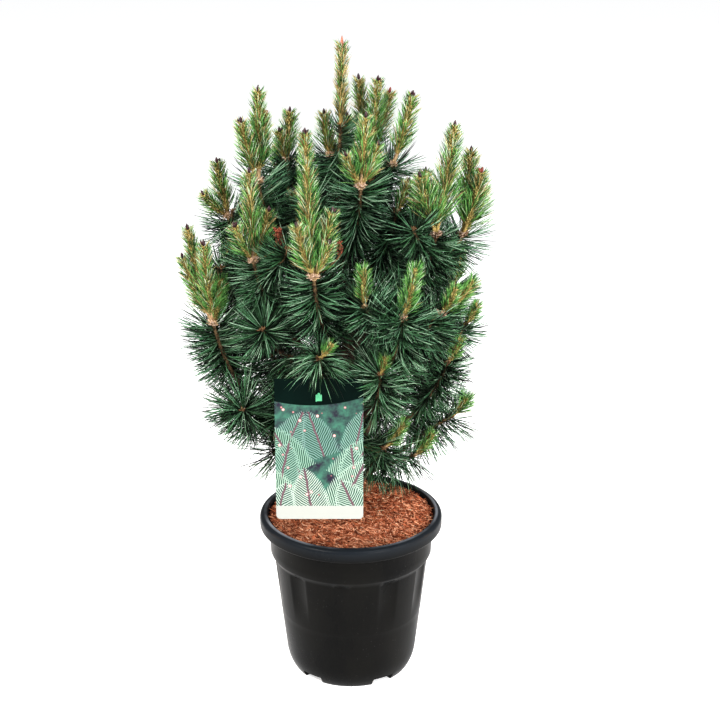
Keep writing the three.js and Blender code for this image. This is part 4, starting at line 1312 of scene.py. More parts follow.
# %% Knots
BALL_PROFILE = ((0.02, 0.3), (0.14, 0.68), (0.32, 0.94), (0.5, 1.0), (0.68, 0.94), (0.86, 0.68), (0.98, 0.3))
KNOT_SMALLEST = 0.0026
KNOT_LARGEST = 0.0052
FULL_STRENGTH = 0.25
KNOT_ROUGHNESS = 0.35
PALE_FROM = 0.3
PAPERY_FROM = 0.8
BROWN_KNOTS = ("leader", "right_high")
KNOT_DICE = 200
ROSETTE_KNOT_DICE = 500
brown_wood = Pile()
paper = Pile()


def turned(base, ahead, length, radius, profile, sides, bumps=0.0, seed=0.0):
    """A small turned shape on an axis, with its profile as (share of length, share of radius)."""
    across = unit(np.cross(ahead, REFERENCE))
    beside = np.cross(ahead, across)
    turns = np.arange(sides) * TURN / sides
    rows = []
    for n, (share, width) in enumerate(profile):
        twist = turns + (n % 2) * math.pi / sides
        ripple = 1 + bumps * np.cos(3 * twist + 2.1 * n + seed)
        ring = around(across, beside, twist)
        rows.append(base + ahead * length * share + ring * (radius * width * ripple)[:, None])
    poles = np.stack([base, base + ahead * length])
    return np.concatenate(rows + [poles]), ring_faces(len(profile), sides)


def knot(pile, centre, radius, seed):
    """A knobbly ball of closely packed scales."""
    points, faces = turned(centre - radius * UP, UP, 2 * radius, radius, BALL_PROFILE, 12)
    offset = points - centre
    for i, p in enumerate(points):
        swell = noise.noise(Vector(p * 260.0) + Vector((seed, 0, 0)))
        points[i] = centre + offset[i] * (1 + KNOT_ROUGHNESS * swell)
    pile.add(points, faces)


def scales(pile, centre, radius, count, rng):
    """Papery bud scales that curl up and out round a knot."""
    turn = rng.uniform(0, TURN, count)
    rise = rng.uniform(-0.3, 0.9, count)
    outward = np.stack([np.cos(turn), np.sin(turn), rise], 1)
    ahead = unit(outward + rng.normal(0, 0.35, (count, 3)) + 0.5 * UP)
    length = rng.uniform(0.0035, 0.0095, count)
    pile.add(*needles(centre + unit(outward) * radius * 0.8, ahead, length, np.zeros((count, 3)),
                      0.0012, ((0.0, 1.0), (0.5, 0.9)), rng))


def grow_knots(mass, rng):
    """A knot at each shoot's end, larger and with more scales where more candles rise."""
    for n, twig in enumerate(mass.shoots):
        centre = twig.path.at(1.0)
        rising = [c for c in mass.candles if np.linalg.norm(c.path.at(0.0) - centre) < 0.002]
        strength = min(sum(c.path.length for c in rising) / FULL_STRENGTH, 1.0)
        radius = lerp(KNOT_SMALLEST, KNOT_LARGEST, strength)
        pale = strength > PALE_FROM and mass.name not in BROWN_KNOTS
        pile = pale_wood if pale else brown_wood
        knot(pile, centre, radius, n)
        scales(pile, centre, radius, int(lerp(5, 90, strength)), rng)
        if pale or strength > PAPERY_FROM:
            scales(paper, centre, radius * 1.25, int(lerp(5, 80, strength)), rng)


mass_dice = [dice(KNOT_DICE + mass.number) for mass in masses]
for mass, rng in zip(masses, mass_dice):
    grow_knots(mass, rng)
rng = dice(ROSETTE_KNOT_DICE)
for n, (_, hub, _) in enumerate(ROSETTES):
    knot(brown_wood, np.array(hub), KNOT_SMALLEST, n)
    scales(brown_wood, np.array(hub), KNOT_SMALLEST, 12, rng)
print(len(ROSETTES) + sum(len(mass.shoots) for mass in masses), "knots")

# %% [markdown]
# ## Buds and pollen cones
#
# Dark resinous buds wait at the tips of most candles, one long with up to two short ones beside it. The
# leader's is a pale orange spike, three are still red, and a shoot that rests this year shows only a
# small closed bud. Two clusters of red pollen cones sit in front, each on a short stalk from a knot.
# Buds and cones are turned shapes too, with soft bumps for their scales.

# %% Buds and pollen cones
BUD_PROFILE = ((0.0, 0.55), (0.15, 0.9), (0.35, 1.0), (0.6, 0.82), (0.82, 0.45))
BUD_SIZE = (0.0105, 0.0027)
SMALL_BUD_SIZE = (0.0090, 0.0023)
LEADER_BUD_SIZE = (0.0205, 0.0027)
RESTING_BUD_SIZE = (0.0060, 0.0016)
FULL_BUD_LENGTH = 0.08
RED_BUDS = (("top_right", 2), ("right_high", 4), ("left_top", 2))
CONE_STALKS = (("left_front", (-0.1095, -0.122, 0.8074), (-0.1123, -0.122, 0.8353), 56, 1.0),
               ("front_centre", (-0.0149, -0.165, 0.8080), (-0.0171, -0.165, 0.8285), 34, 0.66))
STALK_RADIUS = 0.0016
CONE_DICE = 300
dark_buds, red_buds, orange_buds, resting_buds, cones = (Pile() for _ in range(5))


def bud(pile, place, ahead, size, scale=1.0, sides=8, bumps=0.1, seed=0):
    """A resinous bud, its scales shown as soft bumps."""
    length, radius = size
    pile.add(*turned(place, ahead, length * scale, radius * scale, BUD_PROFILE, sides, bumps, seed))


def grow_buds(mass, rng):
    """The buds at the candles' tips."""
    for n, twig in enumerate(mass.candles):
        base, up = twig.path.at(0.0), unit(twig.path.at(1.0) - twig.path.at(0.0))
        path = bowed(twig)
        tip, along, across, beside = (row[0] for row in frames(path, [1.0]))
        if is_resting(twig):
            bud(resting_buds, base + up * 0.001, up, RESTING_BUD_SIZE, sides=7, bumps=0.08)
        elif mass.name == "leader":
            bud(orange_buds, tip - along * 0.004, along, LEADER_BUD_SIZE, bumps=0.08)
        elif not is_tuft(twig):
            pile = red_buds if (mass.name, n) in RED_BUDS else dark_buds
            size = lerp(0.7, 1.0, min(path.length / FULL_BUD_LENGTH, 1.0))
            bud(pile, tip + along * 0.001, along, BUD_SIZE, size, seed=n)
            for k in range(rng.integers(0, 3)):
                turn = rng.uniform(0, TURN)
                lean = unit(along + 0.75 * (across * math.cos(turn) + beside * math.sin(turn)))
                bud(pile, tip + lean * 0.002, lean, SMALL_BUD_SIZE, size, seed=k)


def grow_cones(hub, foot, top, count, size, rng):
    """A cluster of pollen cones round the top of a stalk from a knot."""
    stalk = smooth_through([hub, lerp(hub, foot, 0.55) - 0.004 * UP, foot, top])
    brown_wood.add(*tube(stalk, 0.0, 1.0, 24, 7, lambda share: STALK_RADIUS))
    line = Path([foot, top])
    for n in range(count):
        p, along, across, beside = (row[0] for row in frames(line, [(n + 0.5) / count]))
        turn = math.radians(GOLDEN_ANGLE) * n
        outward = across * math.cos(turn) + beside * math.sin(turn)
        ahead = unit(outward + rng.uniform(0.2, 1.1) * along + rng.normal(0, 0.25, 3))
        base = p + outward * rng.uniform(0.0006, 0.0028)
        length = rng.uniform(0.0042, 0.0076) * size
        radius = rng.uniform(0.0014, 0.0021) * size
        cones.add(*turned(base, ahead, length, radius, BALL_PROFILE, 7, 0.16, n))
    scales(brown_wood, lerp(foot, top, 0.5), 0.0042 * size, 26, rng)


for mass, rng in zip(masses, mass_dice):
    grow_buds(mass, rng)
for number, (name, foot, top, count, size) in enumerate(CONE_STALKS):
    hub = mass_named[name].hub
    grow_cones(hub, np.array(foot), np.array(top), count, size, dice(CONE_DICE + number))

for name, pile, *finish in (
        ("knots_and_scales", pale_wood, "knot_tan", (126, 99, 69), (206, 176, 138), 220, 0.8, 0.2, 500, 0.5),
        ("paper_scales", paper, "paper_scale", (150, 120, 100), (216, 192, 172), 300, 0.85, 0.15),
        ("side_knots", brown_wood, "knot_brown", (64, 44, 30), (138, 106, 74), 240, 0.8, 0.2),
        ("buds_dark", dark_buds, "bud_dark", (30, 14, 22), (66, 34, 38), 260, 0.35),
        ("buds_red", red_buds, "bud_red", (84, 34, 27), (130, 62, 46), 260, 0.5),
        ("buds_resting", resting_buds, "bud_resting", (70, 52, 32), (118, 90, 56), 260, 0.7),
        ("buds_orange", orange_buds, "bud_orange", (142, 84, 64), (180, 120, 96), 260, 0.6),
        ("pollen_cones", cones, "cone_red", (86, 38, 28), (164, 88, 62), 420, 0.8)):
    finish_name, dark, pale, *surface = finish
    foliage.append(pile.piece(name, mottled(finish_name, rgb(*dark), rgb(*pale), *surface)))

# %% [markdown]
# ## Bark
#
# The trunk and boughs have rough grey-brown bark: upright plates with cracks between them, coarse at
# the foot and finer on the boughs. The relief is real geometry. Cell noise gives the plates, because
# the gap between its nearest and second nearest point is small along the cracks. Younger stems inside
# the foliage keep the diamond pattern of the shoots that they were last year.

# %% Bark
PLATE = 0.0062
BOUGH_PLATE = 0.0042
STEM_DIAMOND = 0.008
BARK_SUNK = 0.004
bark = Pile()
stem_bark = Pile()


def plates(size, depth):
    """Raised plates with cracks between them, twice as tall as wide."""
    def relief(points, turns):
        """The extra radius at each point, from its place alone."""
        flat = points.reshape(-1, 3) / (size, size, 2.0 * size)
        heights = np.empty(len(flat))
        for i, p in enumerate(flat):
            near = noise.voronoi(Vector(p))[0]
            heights[i] = min((near[1] - near[0]) * 2.5, 1.0) + 0.5 * noise.noise(Vector(p * 2.7))
        return depth * heights.reshape(points.shape[:2])
    return relief


def add_stem(twig):
    """A stem or side shoot inside the foliage."""
    thick, thin = (0.0029, 0.0026) if twig.side else (BOUGH_TIP_RADIUS, 0.0032)
    rings = max(int(twig.path.length * (1 - twig.start) / 0.0024), 12)
    stem_bark.add(*tube(twig.path, twig.start, 1.0, rings, 12,
                        lambda share: lerp(thick, thin, (share - twig.start) / (1 - twig.start)) - 0.0003,
                        diamond_bark(0.0011, 4, STEM_DIAMOND)))


trunk_line = Path([trunk_point(h) for h in np.linspace(SOIL_TOP - BARK_SUNK, TRUNK_TOP + 0.002, 160)])
bark.add(*tube(trunk_line, 0.0, 1.0, 300, 44,
               lambda share: trunk_radius(lerp(SOIL_TOP - BARK_SUNK, TRUNK_TOP, share)) - 0.0006,
               plates(PLATE, 0.0014)))
for mass in masses:
    if mass.stem_from:
        rings = int(mass.path.length * mass.stem_from / 0.0028)
        bark.add(*tube(mass.path, 0.0, mass.stem_from, rings, 16,
                       lambda share: bough_radius(mass, share) - 0.0004, plates(BOUGH_PLATE, 0.0009)))
    for twig in mass.shoots:
        add_stem(twig)

bark_finish = mottled("bark_brown", rgb(40, 31, 25), rgb(96, 78, 62), 130, roughness=0.9, specular=0.2,
                      bump_scale=700, bump_strength=0.6, stretch=(1, 1, 0.45))
stem_finish = mottled("stem_brown", rgb(36, 28, 19), rgb(128, 104, 74), 260, roughness=0.85, specular=0.2,
                      bump_scale=900, bump_strength=0.5)
bark_piece = bark.piece("bark", bark_finish)
foliage.append(stem_bark.piece("stems", stem_finish))

# %% [markdown]
# ## Pot
#
# The nursery pot is thin black polyethylene, blow-moulded: a rolled rim, a collar, flutes that stiffen
# the wall and feet that let water out. It is a turned shape, so a profile swept round in 360 steps
# makes it. The flutes are pressed in by a formula of angle and height, and the gaps between the feet
# by lifting the lowest points.

# %% Pot
POT_HEIGHT = 0.290
RIM_RADIUS = 0.1575
RIM_DEPTH = 0.022
RIM_WIDTH = 0.010
COLLAR_RADIUS = 0.141
COLLAR_BOTTOM = 0.220
WALL_TOP_RADIUS = 0.1345
WALL_FOOT_RADIUS = 0.114
WALL_FOOT_HEIGHT = 0.039
POT_WALL = 0.003
FLOOR_HEIGHT = 0.014
PAD_RADIUS = 0.026
FOOT_INNER = 0.086
FOOT_OUTER = 0.102
FLUTE_COUNT = 10
FLUTE_FIRST = 29
FLUTE_HALF_WIDTH = 8
FLUTE_DEPTH = 0.0035
FLUTE_TOP = 0.212
FLUTE_BOTTOM = 0.112
FLUTE_FADE = 0.060
FOOT_COUNT = 5
FOOT_FIRST = -4
NOTCH_HALF_WIDTH = 10.7
NOTCH_HEIGHT = 0.0135
FOOT_ROUND_IN = 0.002
FOOT_ROUND_OUT = 0.003
COLLAR_ROUND = 0.004
RIM_ROUND_UNDER = 0.003
RIM_ROUND_TOP = 0.007
MOULD_LINE = 0.110
MOULD_STEP = 0.00012
POT_SIDES = 360


def wall_radius(height):
    """The wall's taper, with the fine step of its mould line."""
    share = (height - WALL_FOOT_HEIGHT) / (COLLAR_BOTTOM - WALL_FOOT_HEIGHT)
    return lerp(WALL_FOOT_RADIUS, WALL_TOP_RADIUS, share) + (MOULD_STEP if height > MOULD_LINE else 0.0)


def arc(radius, height, size, first, last, steps=6):
    """A rounded corner of a profile, about a centre at (radius, height)."""
    turns = np.radians(np.linspace(first, last, steps))
    return [(radius + size * math.cos(turn), height + size * math.sin(turn)) for turn in turns]


under_rim = POT_HEIGHT - RIM_DEPTH
outside = [(PAD_RADIUS, 0.0), (PAD_RADIUS + 0.002, FLOOR_HEIGHT), (FOOT_INNER - 0.002, FLOOR_HEIGHT)]
outside += arc(FOOT_INNER + FOOT_ROUND_IN, FOOT_ROUND_IN, FOOT_ROUND_IN, 180, 270, 4)
outside += arc(FOOT_OUTER - FOOT_ROUND_OUT, FOOT_ROUND_OUT, FOOT_ROUND_OUT, 270, 315, 4)
outside += [(0.1045, 0.0060), (0.1068, 0.0105), (0.1082, NOTCH_HEIGHT + 0.0001)]
outside += [(0.1108, 0.021), (0.1128, 0.030)]
outside += [(wall_radius(h), h) for h in np.linspace(WALL_FOOT_HEIGHT, MOULD_LINE, 8)]
outside += [(wall_radius(h), h) for h in np.linspace(MOULD_LINE + 0.0008, FLUTE_TOP - 0.003, 34)]
outside += [(wall_radius(FLUTE_TOP), FLUTE_TOP), (COLLAR_RADIUS - 0.0022, COLLAR_BOTTOM - 0.0012)]
outside += [(COLLAR_RADIUS - 0.0012, COLLAR_BOTTOM + 0.0012), (COLLAR_RADIUS - 0.0008, 0.232)]
outside += arc(COLLAR_RADIUS + COLLAR_ROUND, under_rim - COLLAR_ROUND, COLLAR_ROUND, 180, 90, 5)
outside += arc(RIM_RADIUS - RIM_ROUND_UNDER, under_rim + RIM_ROUND_UNDER, RIM_ROUND_UNDER, 270, 360, 5)
outside += [(RIM_RADIUS, 0.276)]
outside += arc(RIM_RADIUS - RIM_ROUND_TOP, POT_HEIGHT - 0.0065, RIM_ROUND_TOP, 0, 75, 9)
outside += arc(RIM_RADIUS - RIM_WIDTH, POT_HEIGHT - 0.0008, 0.003, 70, 180, 6)
inside = [(COLLAR_RADIUS - POT_WALL + 0.002, under_rim + 0.004), (COLLAR_RADIUS - POT_WALL, under_rim)]
inside += [(COLLAR_RADIUS - POT_WALL - 0.001, COLLAR_BOTTOM)]
inside += [(wall_radius(h) - POT_WALL, h) for h in np.linspace(FLUTE_TOP, WALL_FOOT_HEIGHT, 16)]
inside += [(FOOT_OUTER - 0.002, FLOOR_HEIGHT + POT_WALL)]


def flute_depth(angle, height):
    """How far a flute is pressed in, at an angle in degrees from the front."""
    period = 360 / FLUTE_COUNT
    offset = (angle - FLUTE_FIRST + period / 2) % period - period / 2
    rounding = np.maximum(0, 1 - (offset / FLUTE_HALF_WIDTH) ** 2)
    fade = smooth_step(height, FLUTE_BOTTOM, FLUTE_BOTTOM + FLUTE_FADE) if height < FLUTE_TOP - 0.001 else 0.0
    return FLUTE_DEPTH * rounding * fade


def lathe(profile, sides, press=None):
    """A closed turned shape, with a flat disc at each end of its profile."""
    turns = np.arange(sides) * TURN / sides
    rows = []
    for radius, height in profile:
        r = np.full(sides, radius)
        if press is not None:
            r = r - press(np.degrees(turns), radius, height)
        rows.append(np.stack([r * np.sin(turns), -r * np.cos(turns), np.full(sides, height)], 1))
    poles = np.array([(0, 0, profile[0][1]), (0, 0, profile[-1][1])])
    return np.concatenate(rows + [poles]), ring_faces(len(profile), sides)


def press_flutes(angle, radius, height):
    """The flutes press in the wall but not the floor."""
    return flute_depth(angle, height) if radius > WALL_FOOT_RADIUS - POT_WALL else 0.0


pot_points, pot_faces = lathe(outside + inside, POT_SIDES, press_flutes)
angle = np.degrees(np.arctan2(pot_points[:, 0], -pot_points[:, 1]))
period = 360 / FOOT_COUNT
from_gap = (angle - FOOT_FIRST) % period - period / 2
in_gap = (abs(from_gap) < NOTCH_HALF_WIDTH) & (pot_points[:, 2] < NOTCH_HEIGHT)
in_gap &= np.hypot(pot_points[:, 0], pot_points[:, 1]) > FOOT_INNER - 0.003
pot_points[in_gap, 2] = NOTCH_HEIGHT
print(len(pot_faces), "triangles in the pot,", FOOT_COUNT, "feet")

# %% [markdown]
# Black plastic is a lesson in restraint: its colour is almost nothing, and all that the eye reads is
# its gloss. Cloudy roughness breaks the reflections up, a bump drawn out upright shows how the pot was
# blown, and a little pale dust lies on it. The rim's top is painted a lighter, bluer tone, a painted
# reflection of the light above, and streaks of painted highlight run along its crest.

# %% Pot finish
RIM_REFLECTION_FROM = 0.268
CREST_FROM = POT_HEIGHT + 0.0006
BLACK = (0.0036, 0.0037, 0.0039, 1)
BLACK_WORN = (0.0062, 0.0060, 0.0054, 1)
# Painted reflection: the rim's top is a lighter, bluer tone, as if it caught the light above.
RIM_REFLECTION = (0.015, 0.018, 0.022, 1)
# Painted highlight, in streaks along the rim's crest.
CREST_HIGHLIGHT = (0.20, 0.21, 0.23, 1)
DUST_TONE = (0.05, 0.05, 0.047, 1)

dusty, given, result = new_group(
    "dust", [("Scale", "NodeSocketFloat", 150.0), ("Size", "NodeSocketFloat", 0.1)],
    [("Mask", "NodeSocketFloat")])
where = add_node(dusty, "ShaderNodeTexCoord")
cells = add_node(dusty, "ShaderNodeTexVoronoi")
speck = maths(dusty, "LESS_THAN")
patches = add_node(dusty, "ShaderNodeTexNoise", {"Scale": 22.0, "Detail": 2.0})
some = remap(dusty, 0.5, 0.62)
both = maths(dusty, "MULTIPLY")
wire(dusty,
     (where, "Object", cells, "Vector"),
     (where, "Object", patches, "Vector"),
     (given, "Scale", cells, "Scale"),
     (cells, "Distance", speck, 0),
     (given, "Size", speck, 1),
     (patches, "Fac", some, "Value"),
     (speck, "Value", both, 0),
     (some, "Result", both, 1),
     (both, "Value", result, "Mask"))


def mix_colours(tree, factor, first, second):
    """The blend of two colours or sockets. factor is a socket."""
    node = add_node(tree, "ShaderNodeMix", data_type="RGBA")
    tree.links.new(factor, node.inputs["Factor"])
    for socket, value in ((MIX_FIRST, first), (MIX_SECOND, second)):
        if isinstance(value, tuple):
            node.inputs[socket].default_value = value
        else:
            tree.links.new(value, node.inputs[socket])
    return node.outputs[MIX_RESULT]


pot_finish, tree, shader = new_material("pot_plastic", roughness=0.3, specular=0.06)
shader.inputs["Specular Tint"].default_value = (1.0, 0.95, 0.88, 1)
base = place_mottle(tree, BLACK, BLACK_WORN, 14, (1, 1, 0.5))
dust = add_node(tree, "ShaderNodeGroup", {"Scale": 170, "Size": 0.09}, node_tree=dusty)
where = add_node(tree, "ShaderNodeTexCoord")
height = add_node(tree, "ShaderNodeSeparateXYZ")
rim_reflection_mask = remap(tree, RIM_REFLECTION_FROM, POT_HEIGHT - 0.002)
at_crest = remap(tree, CREST_FROM, CREST_FROM + 0.0012)
# Noise breaks the crest's painted highlight into streaks.
streaks = add_node(tree, "ShaderNodeTexNoise", {"Scale": 9.0, "Detail": 3.0})
highlight_streaks = remap(tree, 0.38, 0.62)
crest = maths(tree, "MULTIPLY")
gloss = remap(tree, 0.0, 1.0, 0.24, 0.36)
wire(tree,
     (where, "Object", height, "Vector"),
     (height, "Z", rim_reflection_mask, "Value"),
     (height, "Z", at_crest, "Value"),
     (where, "Object", streaks, "Vector"),
     (streaks, "Fac", highlight_streaks, "Value"),
     (at_crest, "Result", crest, 0),
     (highlight_streaks, "Result", crest, 1),
     (base, "Mask", gloss, "Value"),
     (gloss, "Result", shader, "Roughness"))
black = mix_colours(tree, rim_reflection_mask.outputs["Result"], base.outputs["Color"], RIM_REFLECTION)
black = mix_colours(tree, crest.outputs["Value"], black, CREST_HIGHLIGHT)
black = mix_colours(tree, dust.outputs["Mask"], black, DUST_TONE)
tree.links.new(black, shader.inputs["Base Color"])
place_grain(tree, shader, 260, 0.10, (1, 1, 0.15))
pot = make_piece("pot_shell", pot_points, pot_faces, pot_finish)
pot.data.set_sharp_from_angle(angle=math.radians(35))
print("pot finish with", len(tree.nodes), "nodes")

# %% [markdown]
# ## Mulch
#
# The root ball is topped with shredded red-brown bark. A low turned bed fills the pot just below its
# rim, darker than the chips as painted shade in the gaps between them. The finish of the bed and chips
# is painted paler towards the right and back of the pot and darker towards the left front: painted
# light and shade. A dot product with a direction across the pot gives that slow change.

# %% Mulch
BED_RADIUS = 0.1425
BED_EDGE = 0.2815
BED_TOP = 0.2842
BED_FOOT = 0.262
# Painted light and shade: the mulch is multiplied darker towards the left front and paler towards the right
# and back.
SHADE_TO_LIGHT_AXIS = (0.7, 0.7, 0)
PAINTED_SHADE_UNTIL = -0.14
PAINTED_LIGHT_FROM = 0.05
PAINTED_SHADE_TONE = 0.66
PAINTED_LIGHT_TONE = 1.44


def painted_side_light(finish):
    """A mulch finish, painted darker on one side of the pot and paler on the other as painted light and
    shade.
    """
    tree = finish.node_tree
    base_colour = tree.nodes["Principled BSDF"].inputs["Base Color"]
    where = add_node(tree, "ShaderNodeTexCoord")
    across = add_node(tree, "ShaderNodeVectorMath", {1: SHADE_TO_LIGHT_AXIS}, operation="DOT_PRODUCT")
    painted_light = remap(tree, PAINTED_SHADE_UNTIL, PAINTED_LIGHT_FROM, PAINTED_SHADE_TONE, PAINTED_LIGHT_TONE)
    toned = add_node(tree, "ShaderNodeMix", {"Factor": 1.0}, data_type="RGBA", blend_type="MULTIPLY",
                     clamp_result=True)
    wire(tree,
         (where, "Object", across, 0),
         (across, "Value", painted_light, "Value"),
         (painted_light, "Result", toned, MIX_SECOND))
    tree.links.new(base_colour.links[0].from_socket, toned.inputs[MIX_FIRST])
    tree.links.new(toned.outputs[MIX_RESULT], base_colour)
    return finish


bed_profile = [(0.02, BED_FOOT), (BED_RADIUS - 0.006, BED_FOOT), (BED_RADIUS, BED_EDGE), (0.10, BED_EDGE),
               (0.02, BED_TOP)]
# The bed is darker than the chips: painted shade for the gaps between them.
bed_finish = painted_side_light(mottled("mulch_bed", rgb(54, 25, 16), rgb(98, 48, 32), 160, 0.95, 0.1, 500, 0.8))
bed_points, bed_faces = lathe(bed_profile, 96)
mulch_pieces = [make_piece("mulch_bed", bed_points, bed_faces, bed_finish)]
print("mulch bed of", len(bed_faces), "triangles")

# %% [markdown]
# ## Chips
#
# Thousands of thin chips lie on the bed in all directions, with some long pale shreds among them. They
# are what Geometry Nodes are for: points scattered on the bed, a small box on each, turned and sized at
# random, made real, then bent a little by noise. The same tree runs once for each shade, with its own
# seed.

# %% Chips
CHIP_FIELD = 0.1380
CHIP_SIZE = (0.0088, 0.00085, 0.0006)
SHRED_SIZE = (0.0150, 0.0016, 0.0006)
FIELD_SIDES = 64
CHIP_SHADES = {
    "rust": (rgb(154, 86, 56), rgb(200, 124, 88), 4600, CHIP_SIZE),
    "umber": (rgb(94, 46, 32), rgb(148, 84, 58), 4000, CHIP_SIZE),
    "amber": (rgb(190, 126, 92), rgb(228, 170, 134), 3000, CHIP_SIZE),
    "straw": (rgb(214, 162, 128), rgb(242, 202, 170), 1000, CHIP_SIZE),
    "shred": (rgb(196, 132, 98), rgb(238, 180, 144), 90, SHRED_SIZE),
}


def chip_tree():
    """Scatters chips over a field mesh. Its inputs give their number, size, seed and finish."""
    tree = bpy.data.node_groups.new("scatter_chips", "GeometryNodeTree")
    for name, kind in (("Field", "NodeSocketGeometry"), ("Density", "NodeSocketFloat"),
                       ("Chip Size", "NodeSocketVector"), ("Seed", "NodeSocketInt"),
                       ("Finish", "NodeSocketMaterial")):
        tree.interface.new_socket(name, in_out="INPUT", socket_type=kind)
    tree.interface.new_socket("Chips", in_out="OUTPUT", socket_type="NodeSocketGeometry")
    given, result = tree.nodes.new("NodeGroupInput"), tree.nodes.new("NodeGroupOutput")

    def random_vector(least, most):
        """A node that draws a vector for each chip between two corners."""
        return add_node(tree, "FunctionNodeRandomValue", {0: least, 1: most}, data_type="FLOAT_VECTOR")

    scatter = add_node(tree, "GeometryNodeDistributePointsOnFaces")
    lift = add_node(tree, "GeometryNodeSetPosition")
    height = random_vector((0, 0, -0.0012), (0, 0, 0.0030))
    box = add_node(tree, "GeometryNodeMeshCube", {"Vertices X": 3, "Vertices Y": 2, "Vertices Z": 2})
    copies = add_node(tree, "GeometryNodeInstanceOnPoints")
    turn = random_vector((-0.5, -0.38, 0), (0.5, 0.38, TURN))
    scale = random_vector((0.45, 0.5, 0.5), (1.7, 1.4, 1.3))
    real = add_node(tree, "GeometryNodeRealizeInstances")
    bend = add_node(tree, "GeometryNodeSetPosition")
    ripple = add_node(tree, "ShaderNodeTexNoise", {"Scale": 150.0, "Detail": 1.0})
    centred = add_node(tree, "ShaderNodeVectorMath", {1: (0.5, 0.5, 0.5)}, operation="SUBTRACT")
    sized = add_node(tree, "ShaderNodeVectorMath", {"Scale": 0.0042}, operation="SCALE")
    place = add_node(tree, "GeometryNodeInputPosition")
    finish = add_node(tree, "GeometryNodeSetMaterial")
    wire(tree,
         (given, "Field", scatter, "Mesh"),
         (given, "Density", scatter, "Density"),
         (given, "Seed", scatter, "Seed"),
         (given, "Seed", height, "Seed"),
         (given, "Seed", turn, "Seed"),
         (given, "Seed", scale, "Seed"),
         (scatter, "Points", lift, "Geometry"),
         (height, 0, lift, "Offset"),
         (lift, "Geometry", copies, "Points"),
         (given, "Chip Size", box, "Size"),
         (box, "Mesh", copies, "Instance"),
         (turn, 0, copies, "Rotation"),
         (scale, 0, copies, "Scale"),
         (copies, "Instances", real, "Geometry"),
         (real, "Geometry", bend, "Geometry"),
         (place, "Position", ripple, "Vector"),
         (ripple, "Color", centred, 0),
         (centred, "Vector", sized, 0),
         (sized, "Vector", bend, "Offset"),
         (bend, "Geometry", finish, "Geometry"),
         (given, "Finish", finish, "Material"),
         (finish, "Geometry", result, "Chips"))
    return tree


def run_tree(tree, name, points, faces, values, finish):
    """The tree's result on a field mesh, as a plain piece."""
    field_piece = make_piece(name, points, faces, finish, smooth=False)
    modifier = field_piece.modifiers.new("nodes", "NODES")
    modifier.node_group = tree
    sockets = {item.name: item.identifier for item in tree.interface.items_tree if item.in_out == "INPUT"}
    for socket, value in values.items():
        modifier[sockets[socket]] = value
    evaluated = field_piece.evaluated_get(bpy.context.evaluated_depsgraph_get())
    mesh = bpy.data.meshes.new_from_object(evaluated)
    field_piece.modifiers.remove(modifier)
    field_piece.data = mesh
    mesh.name = name
    print(f"{name}: {len(mesh.polygons)} faces")
    return field_piece


chips = chip_tree()
field_turns = np.arange(FIELD_SIDES) * TURN / FIELD_SIDES
field_points = np.stack([CHIP_FIELD * np.cos(field_turns), CHIP_FIELD * np.sin(field_turns),
                         np.full(FIELD_SIDES, BED_TOP - 0.0005)], 1)
field_points = np.concatenate([field_points, [(0, 0, BED_TOP + 0.0015)]])
field_faces = np.array([(k, (k + 1) % FIELD_SIDES, FIELD_SIDES) for k in range(FIELD_SIDES)])
for seed, (shade, (dark, pale, count, size)) in enumerate(CHIP_SHADES.items()):
    finish = painted_side_light(mottled(f"mulch_{shade}", dark, pale, 90, 0.9, 0.15, 900, 0.5))
    values = {"Density": count / (math.pi * CHIP_FIELD ** 2), "Chip Size": size, "Seed": seed + 3,
              "Finish": finish}
    mulch_pieces.append(run_tree(chips, f"mulch_{shade}", field_points, field_faces, values, finish))

# %% [markdown]
# ## Hang tag
#
# A printed plastic card hangs from the plant by a tie. It is a flat outline with a punched hole, given
# its thickness by a curve's extrusion.

# %% Hang tag
TAG_CORNER = 0.007
TAG_HOLE_RADIUS = 0.0032

outline = [(-TAG_WIDTH / 2, TAG_HEIGHT), (-TAG_WIDTH / 2, TAG_CORNER)]
outline += arc(-TAG_WIDTH / 2 + TAG_CORNER, TAG_CORNER, TAG_CORNER, 180, 270, 8)[1:]
outline += arc(TAG_WIDTH / 2 - TAG_CORNER, TAG_CORNER, TAG_CORNER, 270, 360, 8)
outline += [(TAG_WIDTH / 2, TAG_HEIGHT)]
hole_height = TAG_HOLE_HEIGHT - TAG_BOTTOM - (TAG_HOLE_RADIUS - TIE_RADIUS - CLEARANCE - 0.0001)
hole = arc(0, hole_height, TAG_HOLE_RADIUS, 0, -337.5, 16)


def flat_piece(name, outlines, thickness, centre, material):
    """A flat plate in the XZ plane from closed outlines, with its middle at a point."""
    curve = bpy.data.curves.new(name, "CURVE")
    curve.dimensions = "2D"
    curve.fill_mode = "BOTH"
    curve.extrude = thickness / 2
    for shape in outlines:
        spline = curve.splines.new("POLY")
        spline.points.add(len(shape) - 1)
        spline.points.foreach_set("co", np.array([(x, z, 0, 1) for x, z in shape], np.float32).ravel())
        spline.use_cyclic_u = True
    shape_object = shown(name, curve)
    mesh = bpy.data.meshes.new_from_object(shape_object.evaluated_get(bpy.context.evaluated_depsgraph_get()))
    bpy.data.objects.remove(shape_object)
    points = np.empty(3 * len(mesh.vertices), np.float32)
    mesh.vertices.foreach_get("co", points)
    points = points.reshape(-1, 3)
    placed = np.stack([points[:, 0], -points[:, 2], points[:, 1]], 1) + centre
    mesh.vertices.foreach_set("co", placed.astype(np.float32).ravel())
    mesh.materials.clear()
    mesh.materials.append(material)
    mesh.update()
    return shown(name, mesh)


print("card outline of", len(outline), "points with a hole of", len(hole))

# %% [markdown]
# ## A printed sprig
#
# The card's print needs no picture file: the shader draws it from the place on the card. It repeats one
# sprig of needles, so that is a group, with its foot, turn and size as inputs. It draws strokes that
# slant from a stem, inside a ragged leaf shape.

